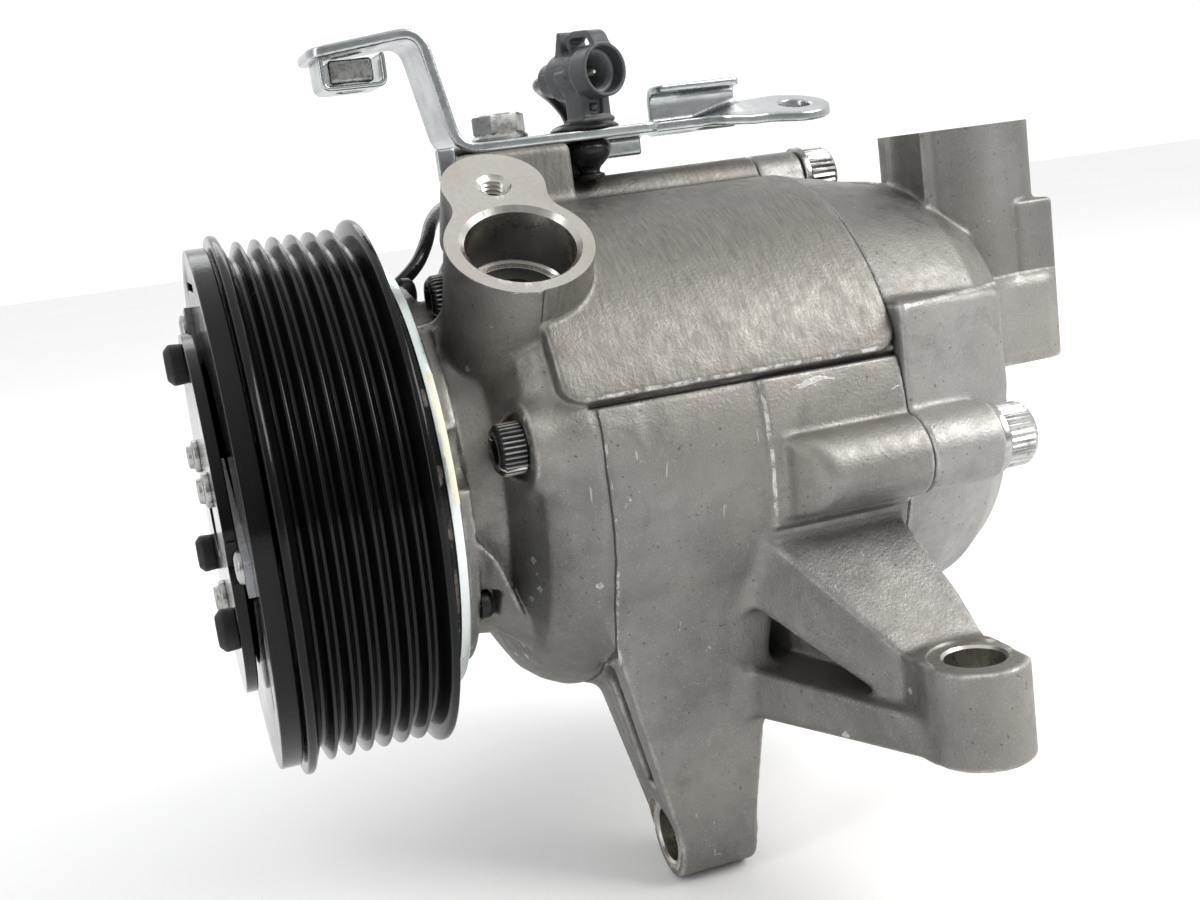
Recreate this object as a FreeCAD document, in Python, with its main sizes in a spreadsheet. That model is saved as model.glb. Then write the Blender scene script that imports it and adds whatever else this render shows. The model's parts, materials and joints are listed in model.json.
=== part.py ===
import FreeCAD, Part
import math
import os
import re
import Sketcher

# Rotary vane air-conditioning compressor with a belt pulley and an electromagnetic clutch.
# X is the shaft axis, with the clutch at -X and the rear head at +X. +Z is up, along the discharge port.
# The origin is on the shaft axis, at the middle of the seven belt grooves. All sizes are millimetres.

SIZES = {
    # pulley and its bearing
    "groove_pitch": 3.56, "groove_count": 7, "ridge_rad": 53.0, "lip_rad": 54.8, "groove_depth": 2.9,
    "pulley_front": -14.5, "pulley_back": 14.2, "rim_in_rad": 44.5, "web_back": -9.5, "wheel_bore_rad": 26.0,
    "wheel_hub_rad": 29.0, "bearing_front": -8.0, "bearing_back": 12.0, "nose_rad": 17.5, "ball_rad": 2.6,
    "ball_pitch_rad": 21.75, "ball_row": 4.4, "ball_count": 14,
    # clutch coil
    "coil_front": -8.5, "coil_in_rad": 30.0, "coil_out_rad": 43.6, "coil_wall": 2.2, "coil_plate_front": 17.0,
    "coil_plate_back": 19.2, "shoulder_rad": 21.4,
    # armature and hub
    "armature_front": -19.0, "armature_back": -15.0, "armature_rad": 52.6, "armature_in_rad": 31.0,
    "hub_front": -22.6, "hub_back": -20.3, "hub_rad": 36.5, "hub_boss_rad": 12.0, "hub_boss_back": -9.5,
    "stopper_circle": 31.0, "rivet_circle": 17.7, "outer_rivet_circle": 40.5, "rivet_rad": 2.2,
    # shaft and pump
    "spline_rad": 7.0, "seal_shaft_rad": 8.5, "shaft_rad": 9.0, "shaft_front": -17.0, "shaft_back": 102.0,
    "rotor_front": 60.54, "rotor_back": 94.46, "rotor_rad": 28.0, "bore_minor": 28.08, "bore_major": 34.0,
    "vane_count": 5, "vane_thick": 2.94, "slot_width": 3.0, "vane_tip_rad": 27.9, "vane_height": 15.0,
    "block_rad": 45.2, "cavity_rad": 45.3, "front_block": 50.5, "cylinder_front": 60.5, "cylinder_back": 94.5,
    "rear_block": 104.0, "needle_rad": 0.99, "needle_pitch_rad": 10.01, "shell_in_rad": 11.05,
    "shell_out_rad": 12.5, "needle_count": 14, "bearing_inset": 1.0, "bearing_len": 8.0,
    # castings
    "body_rad": 50.0, "flange_front": 19.5, "flange_back": 22.2, "flange_rad": 40.0, "neck_rad": 34.5,
    "parting": 45.7, "joint_face": 108.0, "pad_rad": 51.8, "pad_front": 36.0, "head_end": 142.0,
    "bolt_circle": 51.4, "near_boss_rad": 8.0, "far_boss_rad": 6.5, "near_head_face": 124.0,
    "far_head_face": 119.0, "screw_circle": 41.3, "screw_face": 33.0, "short_screw_face": 28.0,
    "coil_screw_circle": 38.2,
    # suction port
    "suction_x": 39.3, "suction_tilt": 37.4, "suction_face": 58.4, "suction_rad": 14.3, "suction_bore": 10.5,
    "suction_depth": 14.0, "seat_pocket_rad": 9.8, "seat_pocket_depth": 3.0, "valve_floor": 29.0,
    "seat_rad": 7.0, "port_screw_gap": 18.1, "port_lug_rad": 10.2, "port_tap_rad": 2.6,
    # discharge port
    "discharge_x": 145.0, "discharge_y": -14.0, "discharge_face": 56.8, "discharge_rad": 14.0,
    "discharge_bore": 9.0, "separator_rad": 8.0, "separator_bottom": 8.0, "discharge_lug_x": 149.0,
    "discharge_lug_y": 4.5,
    # mounting foot (upright hole) and lug (hole along the shaft)
    "foot_x": 100.0, "foot_y": -80.0, "foot_top": -35.6, "foot_bottom": -54.0, "foot_rad": 9.8,
    "mount_bore": 5.5, "spot_rad": 8.5,
    "lug_front": 54.7, "lug_back": 71.5, "lug_y": -30.0, "lug_z": -78.6, "lug_rad": 8.8,
    # wiring bracket and connector
    "bracket_bottom": 64.2, "bracket_thick": 2.2, "bracket_near": 0.0, "bracket_far": 20.0,
    "bracket_bolt_x": 49.7, "bracket_bolt_y": 8.0, "plug_x": 72.0, "plug_y": -1.0, "plug_z": 78.2,
    "plug_rad": 5.6, "plug_yaw": 18.0, "clip_x": 68.2, "clip_y": 6.6, "lead_dia": 3.0,
}

UP = FreeCAD.Vector(0, 0, 1)
TURN = {
    "X": FreeCAD.Rotation(FreeCAD.Vector(0, 1, 0), 90),
    "Y": FreeCAD.Rotation(FreeCAD.Vector(1, 0, 0), -90),
    "Z": FreeCAD.Rotation(),
}

doc = FreeCAD.newDocument("compressor")
sheet = doc.addObject("Spreadsheet::Sheet", "Sizes")
for row, (alias, value) in enumerate(SIZES.items(), start=1):
    sheet.set("A%d" % row, alias)
    sheet.set("B%d" % row, str(value))
    sheet.setAlias("B%d" % row, alias)
doc.recompute()

nodes = []


# ---- building helpers ----------------------------------------------------------------------------

def bound(expression):
    """An expression in the sheet's aliases, with each alias written as the document wants it."""
    return re.sub(r"[a-z_]+", lambda m: "Sizes." + m[0] if m[0] in SIZES else m[0], str(expression))


def number(expression):
    """The value that an expression has now."""
    return float(sheet.evalExpression(bound(expression)))


def polar(radius, degrees):
    """The y and z of a point at a radius and an angle about the shaft axis."""
    angle = math.radians(degrees)
    return radius * math.cos(angle), radius * math.sin(angle)


def new_body(label):
    body = doc.addObject("PartDesign::Body", label)
    body.Label = label
    body.AllowCompound = True
    nodes.append(body)
    return body


def origin_item(body, role):
    return next(item for item in body.Origin.OriginFeatures if item.Role == role)


def attach(feature, body, role, at=(0, 0, 0), turn=None):
    """Attach a feature to one of its body's own origin planes, offset by three expressions."""
    feature.AttachmentSupport = [(origin_item(body, role), "")]
    feature.MapMode = "FlatFace"
    place = FreeCAD.Vector(*(number(part) for part in at))
    feature.AttachmentOffset = FreeCAD.Placement(place, turn or FreeCAD.Rotation())
    for letter, part in zip("xyz", at):
        feature.setExpression("AttachmentOffset.Base." + letter, bound(part))


def sketch_on(body, role, level=0, roll=None):
    sketch = body.newObject("Sketcher::SketchObject", body.Label + "_sketch")
    attach(sketch, body, role, (0, 0, level), roll)
    return sketch


def outline(sketch, points):
    """A closed outline of straight lines through points whose two coordinates are expressions."""
    here = [FreeCAD.Vector(number(a), number(b), 0) for a, b in points]
    first = sketch.GeometryCount
    for index, start in enumerate(here):
        sketch.addGeometry(Part.LineSegment(start, here[(index + 1) % len(here)]))
    for index, (across, along) in enumerate(points):
        after = (index + 1) % len(points)
        sketch.addConstraint(Sketcher.Constraint("Coincident", first + index, 2, first + after, 1))
        for kind, value, part in (("DistanceX", here[index].x, across), ("DistanceY", here[index].y, along)):
            made = sketch.addConstraint(Sketcher.Constraint(kind, -1, 1, first + index, 1, value))
            sketch.setExpression("Constraints[%d]" % made, bound(part))


def rectangle(left, right, low, high):
    return [(left, low), (right, low), (right, high), (left, high)]


def revolved(body, points, cut=False, angle=360, roll=0, at=None):
    """Turn an outline of (x, radius) pairs about the shaft axis, or about a parallel line at (y, z)."""
    sketch = sketch_on(body, "XZ_Plane", 0, FreeCAD.Rotation(FreeCAD.Vector(1, 0, 0), roll))
    outline(sketch, points)
    if at is not None:
        attach(sketch, body, "XZ_Plane", (0, at[1], "-(%s)" % at[0]))
    turned = body.newObject("PartDesign::Groove" if cut else "PartDesign::Revolution", body.Label + "_turn")
    turned.Profile = sketch
    turned.ReferenceAxis = (sketch, ["H_Axis"])
    turned.Angle = angle
    turned.Midplane = angle < 360
    return turned


def extruded(body, role, points, level, length, cut=False):
    """Extrude an outline from a level along an origin plane's normal."""
    sketch = sketch_on(body, role, level)
    outline(sketch, points)
    pad = body.newObject("PartDesign::Pocket" if cut else "PartDesign::Pad", body.Label + "_pad")
    pad.Profile = sketch
    pad.setExpression("Length", bound(length))
    pad.Reversed = cut
    return pad


def rod(body, along, at, radius, length, cut=False, turn=None):
    """A cylinder that starts at a point and runs along an axis, added or cut."""
    kind = "PartDesign::SubtractiveCylinder" if cut else "PartDesign::AdditiveCylinder"
    cylinder = body.newObject(kind, body.Label + "_rod")
    attach(cylinder, body, "XY_Plane", at, turn or TURN[along])
    cylinder.setExpression("Radius", bound(radius))
    cylinder.setExpression("Height", bound(length))
    return cylinder


def block(body, low, high, cut=False):
    """A box between two corners, added or cut."""
    kind = "Subtractive" if cut else "Additive"
    box = body.newObject("PartDesign::%sBox" % kind, body.Label + "_box")
    attach(box, body, "XY_Plane", low)
    for side, start, end in zip(("Length", "Width", "Height"), low, high):
        box.setExpression(side, bound("(%s)-(%s)" % (end, start)))
    return box


def tapered(body, role, level_a, outline_a, level_b, outline_b):
    """A straight-sided loft between two outlines on parallel planes."""
    sections = []
    for level, points in ((level_a, outline_a), (level_b, outline_b)):
        sketch = sketch_on(body, role, level)
        outline(sketch, points)
        sections.append(sketch)
    loft = body.newObject("PartDesign::AdditiveLoft", body.Label + "_loft")
    loft.Profile = sections[0]
    loft.Sections = sections[1:]
    loft.Ruled = True
    return loft


def repeated(body, features, count, angle=360):
    """Repeat features round the shaft axis."""
    pattern = body.newObject("PartDesign::PolarPattern", body.Label + "_ring")
    pattern.Originals = features
    pattern.Axis = (origin_item(body, "X_Axis"), [""])
    pattern.Angle = angle
    pattern.Occurrences = count
    body.Tip = pattern
    return pattern


def ring(label, front, back, inner, outer):
    """A plain turned ring about the shaft axis."""
    body = new_body(label)
    revolved(body, rectangle(front, back, inner, outer))
    return body


def shaped(label, shape):
    """A sub-part whose shape is worked out directly from the sheet's values."""
    feature = doc.addObject("Part::Feature", label)
    feature.Label = label
    feature.Shape = shape
    nodes.append(feature)
    return feature


# ---- castings ------------------------------------------------------------------------------------

REAR_BOLT_ANGLES = (292.5, 4.5, 76.5)
NEAR_BOLT_ANGLE = 184.5
SCREW_ANGLES = (38.1, 166.7, 306, 346.7)
SHORT_SCREW_ANGLE = 115.7
COIL_SCREW_ANGLES = (93, 213, 333)
LEAD_START = (21.8, 4.0, 39.2)
SUCTION_TURN = FreeCAD.Rotation(FreeCAD.Vector(1, 0, 0), SIZES["suction_tilt"])


def along_suction(height, forward=0):
    """The y and z of a point at a height up the suction port and an offset across it, away from -Y."""
    return ("-(%s)*sin(suction_tilt)+(%s)*cos(suction_tilt)" % (height, forward),
            "(%s)*cos(suction_tilt)+(%s)*sin(suction_tilt)" % (height, forward))


def suction_rod(body, height, radius, length, cut=False):
    """A cylinder up the suction port, from a height above the shaft axis."""
    y, z = along_suction(height)
    return rod(body, "Z", ("suction_x", y, z), radius, length, cut=cut, turn=SUCTION_TURN)


def rear_bolt_places():
    """Angle, boss radius, boss start and rear face of each of the four long bolts."""
    places = [(angle, "far_boss_rad", 59, "far_head_face") for angle in REAR_BOLT_ANGLES]
    return places + [(NEAR_BOLT_ANGLE, "near_boss_rad", 80, "near_head_face")]


def make_main_housing():
    body = new_body("main_housing")
    revolved(body, [
        (-10, 15), (-10, "nose_rad"), ("bearing_back+0.3", "nose_rad"), ("bearing_back+0.3", 19.5),
        (16.9, 19.5), (16.9, "shoulder_rad"), ("flange_front", "shoulder_rad"),
        ("flange_front", "flange_rad"), ("flange_back", "flange_rad"), (22.6, "neck_rad"),
        (29.5, "neck_rad+1"), (33, 41.2), (38, 45.6), ("parting", 49.4), ("parting", "body_rad"),
        ("joint_face", "body_rad"), ("joint_face", 15)])
    revolved(body, rectangle("pad_front", "joint_face-2", 44, "pad_rad"), angle=100, roll=21)
    for angle, radius, start, _ in rear_bolt_places():
        y, z = polar(SIZES["bolt_circle"], angle)
        rod(body, "X", (start, y, z), radius, "joint_face-%s" % start)
    for angle in SCREW_ANGLES:
        rod(body, "X", ("screw_face", *polar(SIZES["screw_circle"], angle)), 8.2, 19)
    tapered(body, "YZ_Plane", 20.2, [polar(30, 105), polar(37.5, 107), polar(37.5, 126), polar(30, 128)],
            32, [polar(30, 100), polar(51, 111), polar(51, 128), polar(30, 132)])
    tapered(body, "YZ_Plane", 20.2, [(-39.4, -5), (-27.5, -21.5), (-23, -17), (-33, -4)],
            33.4, [(-25.5, -31), (-23, -34.6), (-19.5, -31), (-22, -28)])
    add_suction_tower(body)
    add_bracket_block(body)
    add_foot(body)
    add_lug(body)
    cut_housing_inside(body)
    cut_housing_holes(body)
    return body


def add_suction_tower(body):
    suction_rod(body, 40, "suction_rad", "suction_face-40")
    y, z = along_suction(46, "port_screw_gap")
    rod(body, "Z", ("suction_x", y, z), "port_lug_rad", "suction_face-46", turn=SUCTION_TURN)
    web = body.newObject("PartDesign::AdditiveBox", "suction_web")
    y, z = along_suction(44)
    attach(web, body, "XY_Plane", ("suction_x-9.5", y, z), SUCTION_TURN)
    web.Length = 19
    web.setExpression("Width", bound("port_screw_gap"))
    web.setExpression("Height", bound("suction_face-44"))


def add_bracket_block(body):
    block(body, (38, -2, 40), (62, 18, "bracket_bottom"))
    block(body, (62, 11, 40), (70, 18, "bracket_bottom-1.5"))


def add_foot(body):
    """Two arms that meet at the upright boss, with a web behind the triangle between them."""
    tapered(body, "XZ_Plane", 38, rectangle(71, 104, -27, -8),
            "-foot_y-9",
            rectangle("foot_x-foot_rad+0.3", "foot_x+foot_rad-0.3", "foot_top-12", "foot_top"))
    block(body, ("foot_x-foot_rad+0.3", "foot_y", "foot_top-12"),
          ("foot_x+foot_rad-0.3", "foot_y+9.5", "foot_top"))
    tapered(body, "XZ_Plane", 30, rectangle(66, 84, -53, -42),
            "-foot_y",
            rectangle("foot_x-foot_rad+0.5", "foot_x+foot_rad-4", "foot_bottom+0.2", "foot_bottom+8"))
    tapered(body, "XZ_Plane", 38, rectangle(83, 87, -50, -20), 72, rectangle(98, 102, -50, -40))
    rod(body, "Z", ("foot_x", "foot_y", "foot_bottom"), "foot_rad", "foot_top-foot_bottom")


def add_lug(body):
    tapered(body, "XY_Plane", -26, rectangle(44, 80, -42, -8),
            "lug_z", rectangle("lug_front+0.2", "lug_back-0.2", "lug_y-lug_rad+0.1", "lug_y+lug_rad-0.1"))
    rod(body, "X", ("lug_front", "lug_y", "lug_z"), "lug_rad", "lug_back-lug_front")


def cut_housing_inside(body):
    """The shaft seal's seat, the suction chamber, the pump's cavity and the seal ring's corner."""
    revolved(body, rectangle(-11, 13, 5, 15.01), cut=True)
    revolved(body, rectangle(-5.2, -3.8, 5, 16.2), cut=True)
    revolved(body, rectangle(12, 30, 5, 10.5), cut=True)
    revolved(body, [(27, 5), (27, 28), (36, 37), ("front_block", 37), ("front_block", "cavity_rad"),
                    ("joint_face+1", "cavity_rad"), ("joint_face+1", 5)], cut=True)
    revolved(body, rectangle("joint_face-1.9", "joint_face+1", 40, 47.2), cut=True)


def cut_housing_holes(body):
    for angle, _, start, _ in rear_bolt_places():
        y, z = polar(SIZES["bolt_circle"], angle)
        rod(body, "X", (start + 4, y, z), 4, "joint_face-%s" % start, cut=True)
    for angle in SCREW_ANGLES:
        y, z = polar(SIZES["screw_circle"], angle)
        rod(body, "X", (15, y, z), 6.2, "screw_face-15", cut=True)
        rod(body, "X", ("screw_face-1", y, z), 3.1, 19, cut=True)
    y, z = polar(SIZES["screw_circle"], SHORT_SCREW_ANGLE)
    rod(body, "X", (15, y, z), 6, "short_screw_face-15", cut=True)
    rod(body, "X", ("short_screw_face-1", y, z), 3, 3.3, cut=True)
    for angle in COIL_SCREW_ANGLES:
        y, z = polar(SIZES["coil_screw_circle"], angle)
        rod(body, "X", ("flange_front-1", y, z), 1.6, 5, cut=True)
        rod(body, "X", ("flange_back", y, z), 3.5, 4, cut=True)
    rod(body, "X", ("flange_front-1", *LEAD_START[1:]), 3.4, 5, cut=True)
    suction_rod(body, "suction_face-suction_depth", "suction_bore", 40, cut=True)
    suction_rod(body, "suction_face-suction_depth-seat_pocket_depth", "seat_pocket_rad", 20, cut=True)
    suction_rod(body, 20, "seat_rad+1.5", 30, cut=True)
    y, z = along_suction("suction_face-14", "port_screw_gap")
    rod(body, "Z", ("suction_x", y, z), "port_tap_rad", 20, cut=True, turn=SUCTION_TURN)
    rod(body, "Z", ("foot_x", "foot_y", "foot_bottom-5"), "mount_bore", 40, cut=True)
    rod(body, "Z", ("foot_x", "foot_y", "foot_top"), "spot_rad", 8, cut=True)
    rod(body, "X", ("lug_front-5", "lug_y", "lug_z"), "mount_bore", 40, cut=True)
    rod(body, "X", ("lug_front-5", "lug_y", "lug_z"), "spot_rad-0.5", 5, cut=True)
    rod(body, "X", ("lug_back", "lug_y", "lug_z"), "spot_rad-0.5", 5, cut=True)
    rod(body, "Z", ("bracket_bolt_x", "bracket_bolt_y", "bracket_bottom-13"), 3, 20, cut=True)


def make_rear_head():
    body = new_body("rear_head")
    revolved(body, [
        ("rear_block", 30), ("rear_block", "block_rad"), ("joint_face", "block_rad"),
        ("joint_face", "body_rad"), (120, 47.8), (131, 44.2), (137, 40), (141, 33.5), ("head_end", 28),
        ("head_end", 0), (118, 0), (118, 30)])
    revolved(body, [("joint_face", 36), ("joint_face", "pad_rad-0.6"), (131, 47.4), (139, 44), (139, 36)],
             angle=90, roll=15)
    for angle, radius, _, face in rear_bolt_places():
        y, z = polar(SIZES["bolt_circle"], angle)
        rod(body, "X", ("joint_face", y, z), radius, "%s-joint_face" % face)
    add_discharge_tower(body)
    tapered(body, "YZ_Plane", 108, rectangle(-51, -20, -1, 26), 138, rectangle(-40, -10, 2, 24))
    revolved(body, rectangle("joint_face-5", 126, 5, 41), cut=True)
    cut_discharge_bores(body)
    for angle, _, _, face in rear_bolt_places():
        y, z = polar(SIZES["bolt_circle"], angle)
        rod(body, "X", ("joint_face-2", y, z), 4.3, "%s-joint_face+4" % face, cut=True)
        rod(body, "X", (face, y, z), 7.6, 14, cut=True)
    return body


def add_discharge_tower(body):
    """The upright tower with its screw lug behind it, and the separator's foot below."""
    rod(body, "Z", ("discharge_x", "discharge_y", 5), "discharge_rad", "discharge_face-5")
    rod(body, "Z", ("discharge_x+4.4", "discharge_y", 5), "discharge_rad-1.6", "discharge_face-5")
    rod(body, "Z", ("discharge_lug_x", "discharge_lug_y", 34), 9, "discharge_face-34")
    block(body, ("discharge_x-8", "discharge_y", 34), ("discharge_x+12", "discharge_lug_y", "discharge_face"))
    block(body, (124, "discharge_y-14", 5), (160, "discharge_y+14", 24.5))


def cut_discharge_bores(body):
    rod(body, "Z", ("discharge_x", "discharge_y", "separator_bottom"), "separator_rad", 60, cut=True)
    rod(body, "Z", ("discharge_x", "discharge_y", "discharge_face-16"), "discharge_bore", 20, cut=True)
    rod(body, "Z", ("discharge_lug_x", "discharge_lug_y", "discharge_face-14"), "port_tap_rad", 20, cut=True)
    rod(body, "X", (120, "discharge_y+5", 14), 2.5, 24, cut=True)


def make_seal_ring():
    seal = doc.addObject("Part::Torus", "housing_seal_ring")
    seal.Label = "housing_seal_ring"
    seal.setExpression("Radius1", bound("cavity_rad+0.95"))
    seal.Radius2 = 0.93
    seal.Placement = FreeCAD.Placement(FreeCAD.Vector(SIZES["joint_face"] - 0.95, 0, 0), TURN["X"])
    seal.setExpression("Placement.Base.x", bound("joint_face-0.95"))
    nodes.append(seal)


# ---- fasteners -----------------------------------------------------------------------------------

def socket_screw(body, angle, circle, seat, shank_rad, shank_len, head_rad, head_len, away=1):
    """A socket-head screw parallel to the shaft; away is +1 where its head points to +X."""
    y, z = polar(SIZES[circle], angle)
    start = "%s-(%s)" % (seat, shank_len) if away > 0 else seat
    rod(body, "X", (start, y, z), shank_rad, shank_len)
    rod(body, "X", (seat if away > 0 else "%s-(%s)" % (seat, head_len), y, z), head_rad, head_len)
    socket_depth = 0.6 * head_len
    end = "%s+%s" % (seat, head_len - socket_depth) if away > 0 else "%s-%s" % (seat, head_len)
    rod(body, "X", (end, y, z), 0.5 * head_rad, socket_depth, cut=True)


def make_rear_bolts():
    body = new_body("rear_bolts")
    washers = new_body("rear_washers")
    for angle, _, start, face in rear_bolt_places():
        seat = "(%s+1.5)" % face
        length = "%s+1.5-%s" % (face, start + 8)
        socket_screw(body, angle, "bolt_circle", seat, 3.95, length, 6.5, 7)
        y, z = polar(SIZES["bolt_circle"], angle)
        rod(washers, "X", (face, y, z), 7.2, 1.5)
        rod(washers, "X", ("%s-1" % face, y, z), 4.2, 4, cut=True)


def make_front_screws():
    body = new_body("front_screws")
    for angle in SCREW_ANGLES:
        socket_screw(body, angle, "screw_circle", "screw_face", 2.95, 25, 5, 5.5, away=-1)
    socket_screw(body, SHORT_SCREW_ANGLE, "screw_circle", "short_screw_face", 2.95, 2.2, 4.6, 4, away=-1)


# ---- pump ----------------------------------------------------------------------------------------

BLOCK_SCREW_ANGLES = (50, 155, 230, 335)
BLOCK_SCREW_CIRCLE = 36.5
REED_X = (66, 89)


def make_side_blocks():
    """The two end plates of the pump, each with a seat for its needle bearing."""
    front = new_body("front_side_block")
    revolved(front, rectangle("front_block", "cylinder_front", 10, "block_rad"))
    revolved(front, rectangle("front_block-1", "cylinder_front+1", 5, "shell_out_rad"), cut=True)
    rear = new_body("rear_side_block")
    revolved(rear, rectangle("cylinder_back", "rear_block", 0, "block_rad"))
    revolved(rear, rectangle("cylinder_back-1", "rear_block-1.5", 0, "shell_out_rad"), cut=True)
    for angle in SCREW_ANGLES:
        rod(front, "X", ("front_block-1", *polar(SIZES["screw_circle"], angle)), 3, 9, cut=True)
    for angle in BLOCK_SCREW_ANGLES:
        y, z = polar(BLOCK_SCREW_CIRCLE, angle)
        rod(front, "X", ("cylinder_front-9", y, z), 2.5, 20, cut=True)
        rod(rear, "X", ("cylinder_back-1", y, z), 2.7, 20, cut=True)
    for angle in (125, 305):
        y, z = polar(30.5, angle)
        rod(front, "X", ("front_block-1", y, z), 3, 20, cut=True)


def make_cylinder_block():
    """The ring with the two-lobed bore: a turned blank, less an extruded oval and its passages."""
    blank = doc.addObject("Part::Cylinder", "cylinder_blank")
    blank.setExpression("Radius", bound("block_rad"))
    blank.setExpression("Height", bound("cylinder_back-cylinder_front"))
    oval = doc.addObject("Part::Ellipse", "bore_oval")
    oval.setExpression("MajorRadius", bound("bore_major"))
    oval.setExpression("MinorRadius", bound("bore_minor"))
    bore = doc.addObject("Part::Extrusion", "bore_core")
    bore.Base = oval
    bore.Dir = UP
    bore.LengthFwd = 60
    bore.LengthRev = 5
    bore.Solid = True
    cutters = [bore]
    for angle in (0, 180):
        cutters.append(make_discharge_recess(angle))
        cutters += [make_hole(angle, height, 2.2) for height in REED_X]
    for angle in BLOCK_SCREW_ANGLES:
        screw_hole = doc.addObject("Part::Cylinder", "cylinder_screw_hole")
        screw_hole.Radius = 2.7
        screw_hole.Height = 60
        y, z = polar(BLOCK_SCREW_CIRCLE, angle)
        screw_hole.Placement.Base = FreeCAD.Vector(-z, y, -5)
        cutters.append(screw_hole)
    tools = doc.addObject("Part::MultiFuse", "cylinder_cutters")
    tools.Shapes = cutters
    ready = doc.addObject("Part::Cut", "cylinder_block")
    ready.Label = "cylinder_block"
    ready.Base = blank
    ready.Tool = tools
    ready.Placement = FreeCAD.Placement(FreeCAD.Vector(SIZES["cylinder_front"], 0, 0), TURN["X"])
    nodes.append(ready)


def make_discharge_recess(angle):
    """A flat-bottomed recess in the block's outside for the reed valves on one lobe."""
    recess = doc.addObject("Part::Box", "discharge_recess")
    recess.Length = 20
    recess.Width = 22
    recess.Height = 30
    offset = FreeCAD.Placement(FreeCAD.Vector(38, -11, 2), FreeCAD.Rotation())
    recess.Placement = FreeCAD.Placement(FreeCAD.Vector(), FreeCAD.Rotation(UP, 90 + angle + 26)) * offset
    return recess


def make_hole(angle, along, radius):
    """A port through the lobe's wall into the discharge recess."""
    hole = doc.addObject("Part::Cylinder", "discharge_hole")
    hole.Radius = radius
    hole.Height = 20
    offset = FreeCAD.Placement(FreeCAD.Vector(24, 0, along - SIZES["cylinder_front"]), TURN["X"])
    hole.Placement = FreeCAD.Placement(FreeCAD.Vector(), FreeCAD.Rotation(UP, 90 + angle + 26)) * offset
    return hole


def make_valves():
    """Reeds over the discharge holes, the curved stops above them and the screws that hold both."""
    reeds, stops, screws = [new_body(name) for name in ("reed_valves", "valve_stops", "valve_screws")]
    middle = "(cylinder_front+cylinder_back)/2"
    for angle in (26, 206):
        roll = FreeCAD.Rotation(FreeCAD.Vector(1, 0, 0), angle - 90)
        for body, low, high in ((reeds, 38, 38.35), (stops, 38.35, 39.6)):
            sketch = sketch_on(body, "XZ_Plane", 0, roll)
            outline(sketch, rectangle(64, 91, low, high))
            plate = body.newObject("PartDesign::Pad", body.Label + "_strip")
            plate.Profile = sketch
            plate.Length = 7
            plate.Midplane = True
        y, z = polar(33, angle)
        turn = FreeCAD.Rotation(FreeCAD.Vector(1, 0, 0), angle - 90)
        for body in (reeds, stops):
            rod(body, "Z", (middle, y, z), 1.6, 10, cut=True, turn=turn)
        y, z = polar(39.6, angle)
        rod(screws, "Z", (middle, y, z), 2.8, 2.2, turn=turn)
        y, z = polar(38, angle)
        rod(screws, "Z", (middle, y, z), 1.5, 2, turn=turn)


def make_block_screws():
    body = new_body("block_screws")
    for angle in BLOCK_SCREW_ANGLES:
        y, z = polar(BLOCK_SCREW_CIRCLE, angle)
        rod(body, "X", ("cylinder_front-8", y, z), 2.45, "rear_block-cylinder_front+8")
        rod(body, "X", ("rear_block", y, z), 4.2, 4)
        rod(body, "X", ("rear_block+1.5", y, z), 2, 4, cut=True)


def make_rotor():
    """The shaft and rotor, with a slot for each vane."""
    body = new_body("rotor_shaft")
    revolved(body, [
        ("shaft_front", 0), ("shaft_front", "spline_rad"), (-8.9, "spline_rad"), (-8.9, "seal_shaft_rad"),
        (48, "seal_shaft_rad"), (48, "shaft_rad"), ("rotor_front", "shaft_rad"),
        ("rotor_front", "rotor_rad"), ("rotor_back", "rotor_rad"), ("rotor_back", "shaft_rad"),
        ("shaft_back", "shaft_rad"), ("shaft_back", 0)])
    slot = block(body, ("rotor_front-1", "-slot_width/2", "vane_tip_rad-vane_height-0.4"),
                 ("rotor_back+1", "slot_width/2", "rotor_rad+1"), cut=True)
    repeated(body, [slot], SIZES["vane_count"])
    rod(body, "X", ("shaft_front-1", 0, 0), 3, 15, cut=True)
    return body


def make_vanes():
    for index in range(SIZES["vane_count"]):
        vane = doc.addObject("Part::Box", "vane_%d" % (index + 1))
        vane.Label = "vane_%d" % (index + 1)
        vane.setExpression("Length", bound("rotor_back-rotor_front-0.06"))
        vane.setExpression("Width", bound("vane_thick"))
        vane.setExpression("Height", bound("vane_height"))
        offset = FreeCAD.Placement(FreeCAD.Vector(number("rotor_front+0.03"), number("-vane_thick/2"),
                                                  number("vane_tip_rad-vane_height")), FreeCAD.Rotation())
        spin = FreeCAD.Rotation(FreeCAD.Vector(1, 0, 0), 360 / SIZES["vane_count"] * index)
        vane.Placement = FreeCAD.Placement(FreeCAD.Vector(), spin) * offset
        nodes.append(vane)


def make_needle_bearing(prefix, front):
    """A drawn shell, a cage and its rollers, round the shaft."""
    back = "%s+bearing_len" % front
    ring(prefix + "_needle_shell", front, back, "shell_in_rad", "shell_out_rad")
    cage = ring(prefix + "_needle_cage", front + "+0.4", back + "-0.4", "needle_pitch_rad-0.5",
                "needle_pitch_rad+0.5")
    pocket = rod(cage, "X", (front + "+1.3", 0, "needle_pitch_rad"), "needle_rad+0.03", "bearing_len-2.6",
                 cut=True)
    repeated(cage, [pocket], SIZES["needle_count"])
    rollers = new_body(prefix + "_needle_rollers")
    first = rod(rollers, "X", (front + "+1.4", 0, "needle_pitch_rad"), "needle_rad", "bearing_len-2.8")
    repeated(rollers, [first], SIZES["needle_count"])


def make_shaft_seal():
    ring("shaft_seal", -3.6, 7, "seal_shaft_rad+0.02", 14.98)
    clip = ring("seal_snap_ring", -5.1, -3.9, 12.5, 16.1)
    block(clip, (-6, -4, 5), (-3, 4, 20), cut=True)


# ---- ports ---------------------------------------------------------------------------------------

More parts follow.
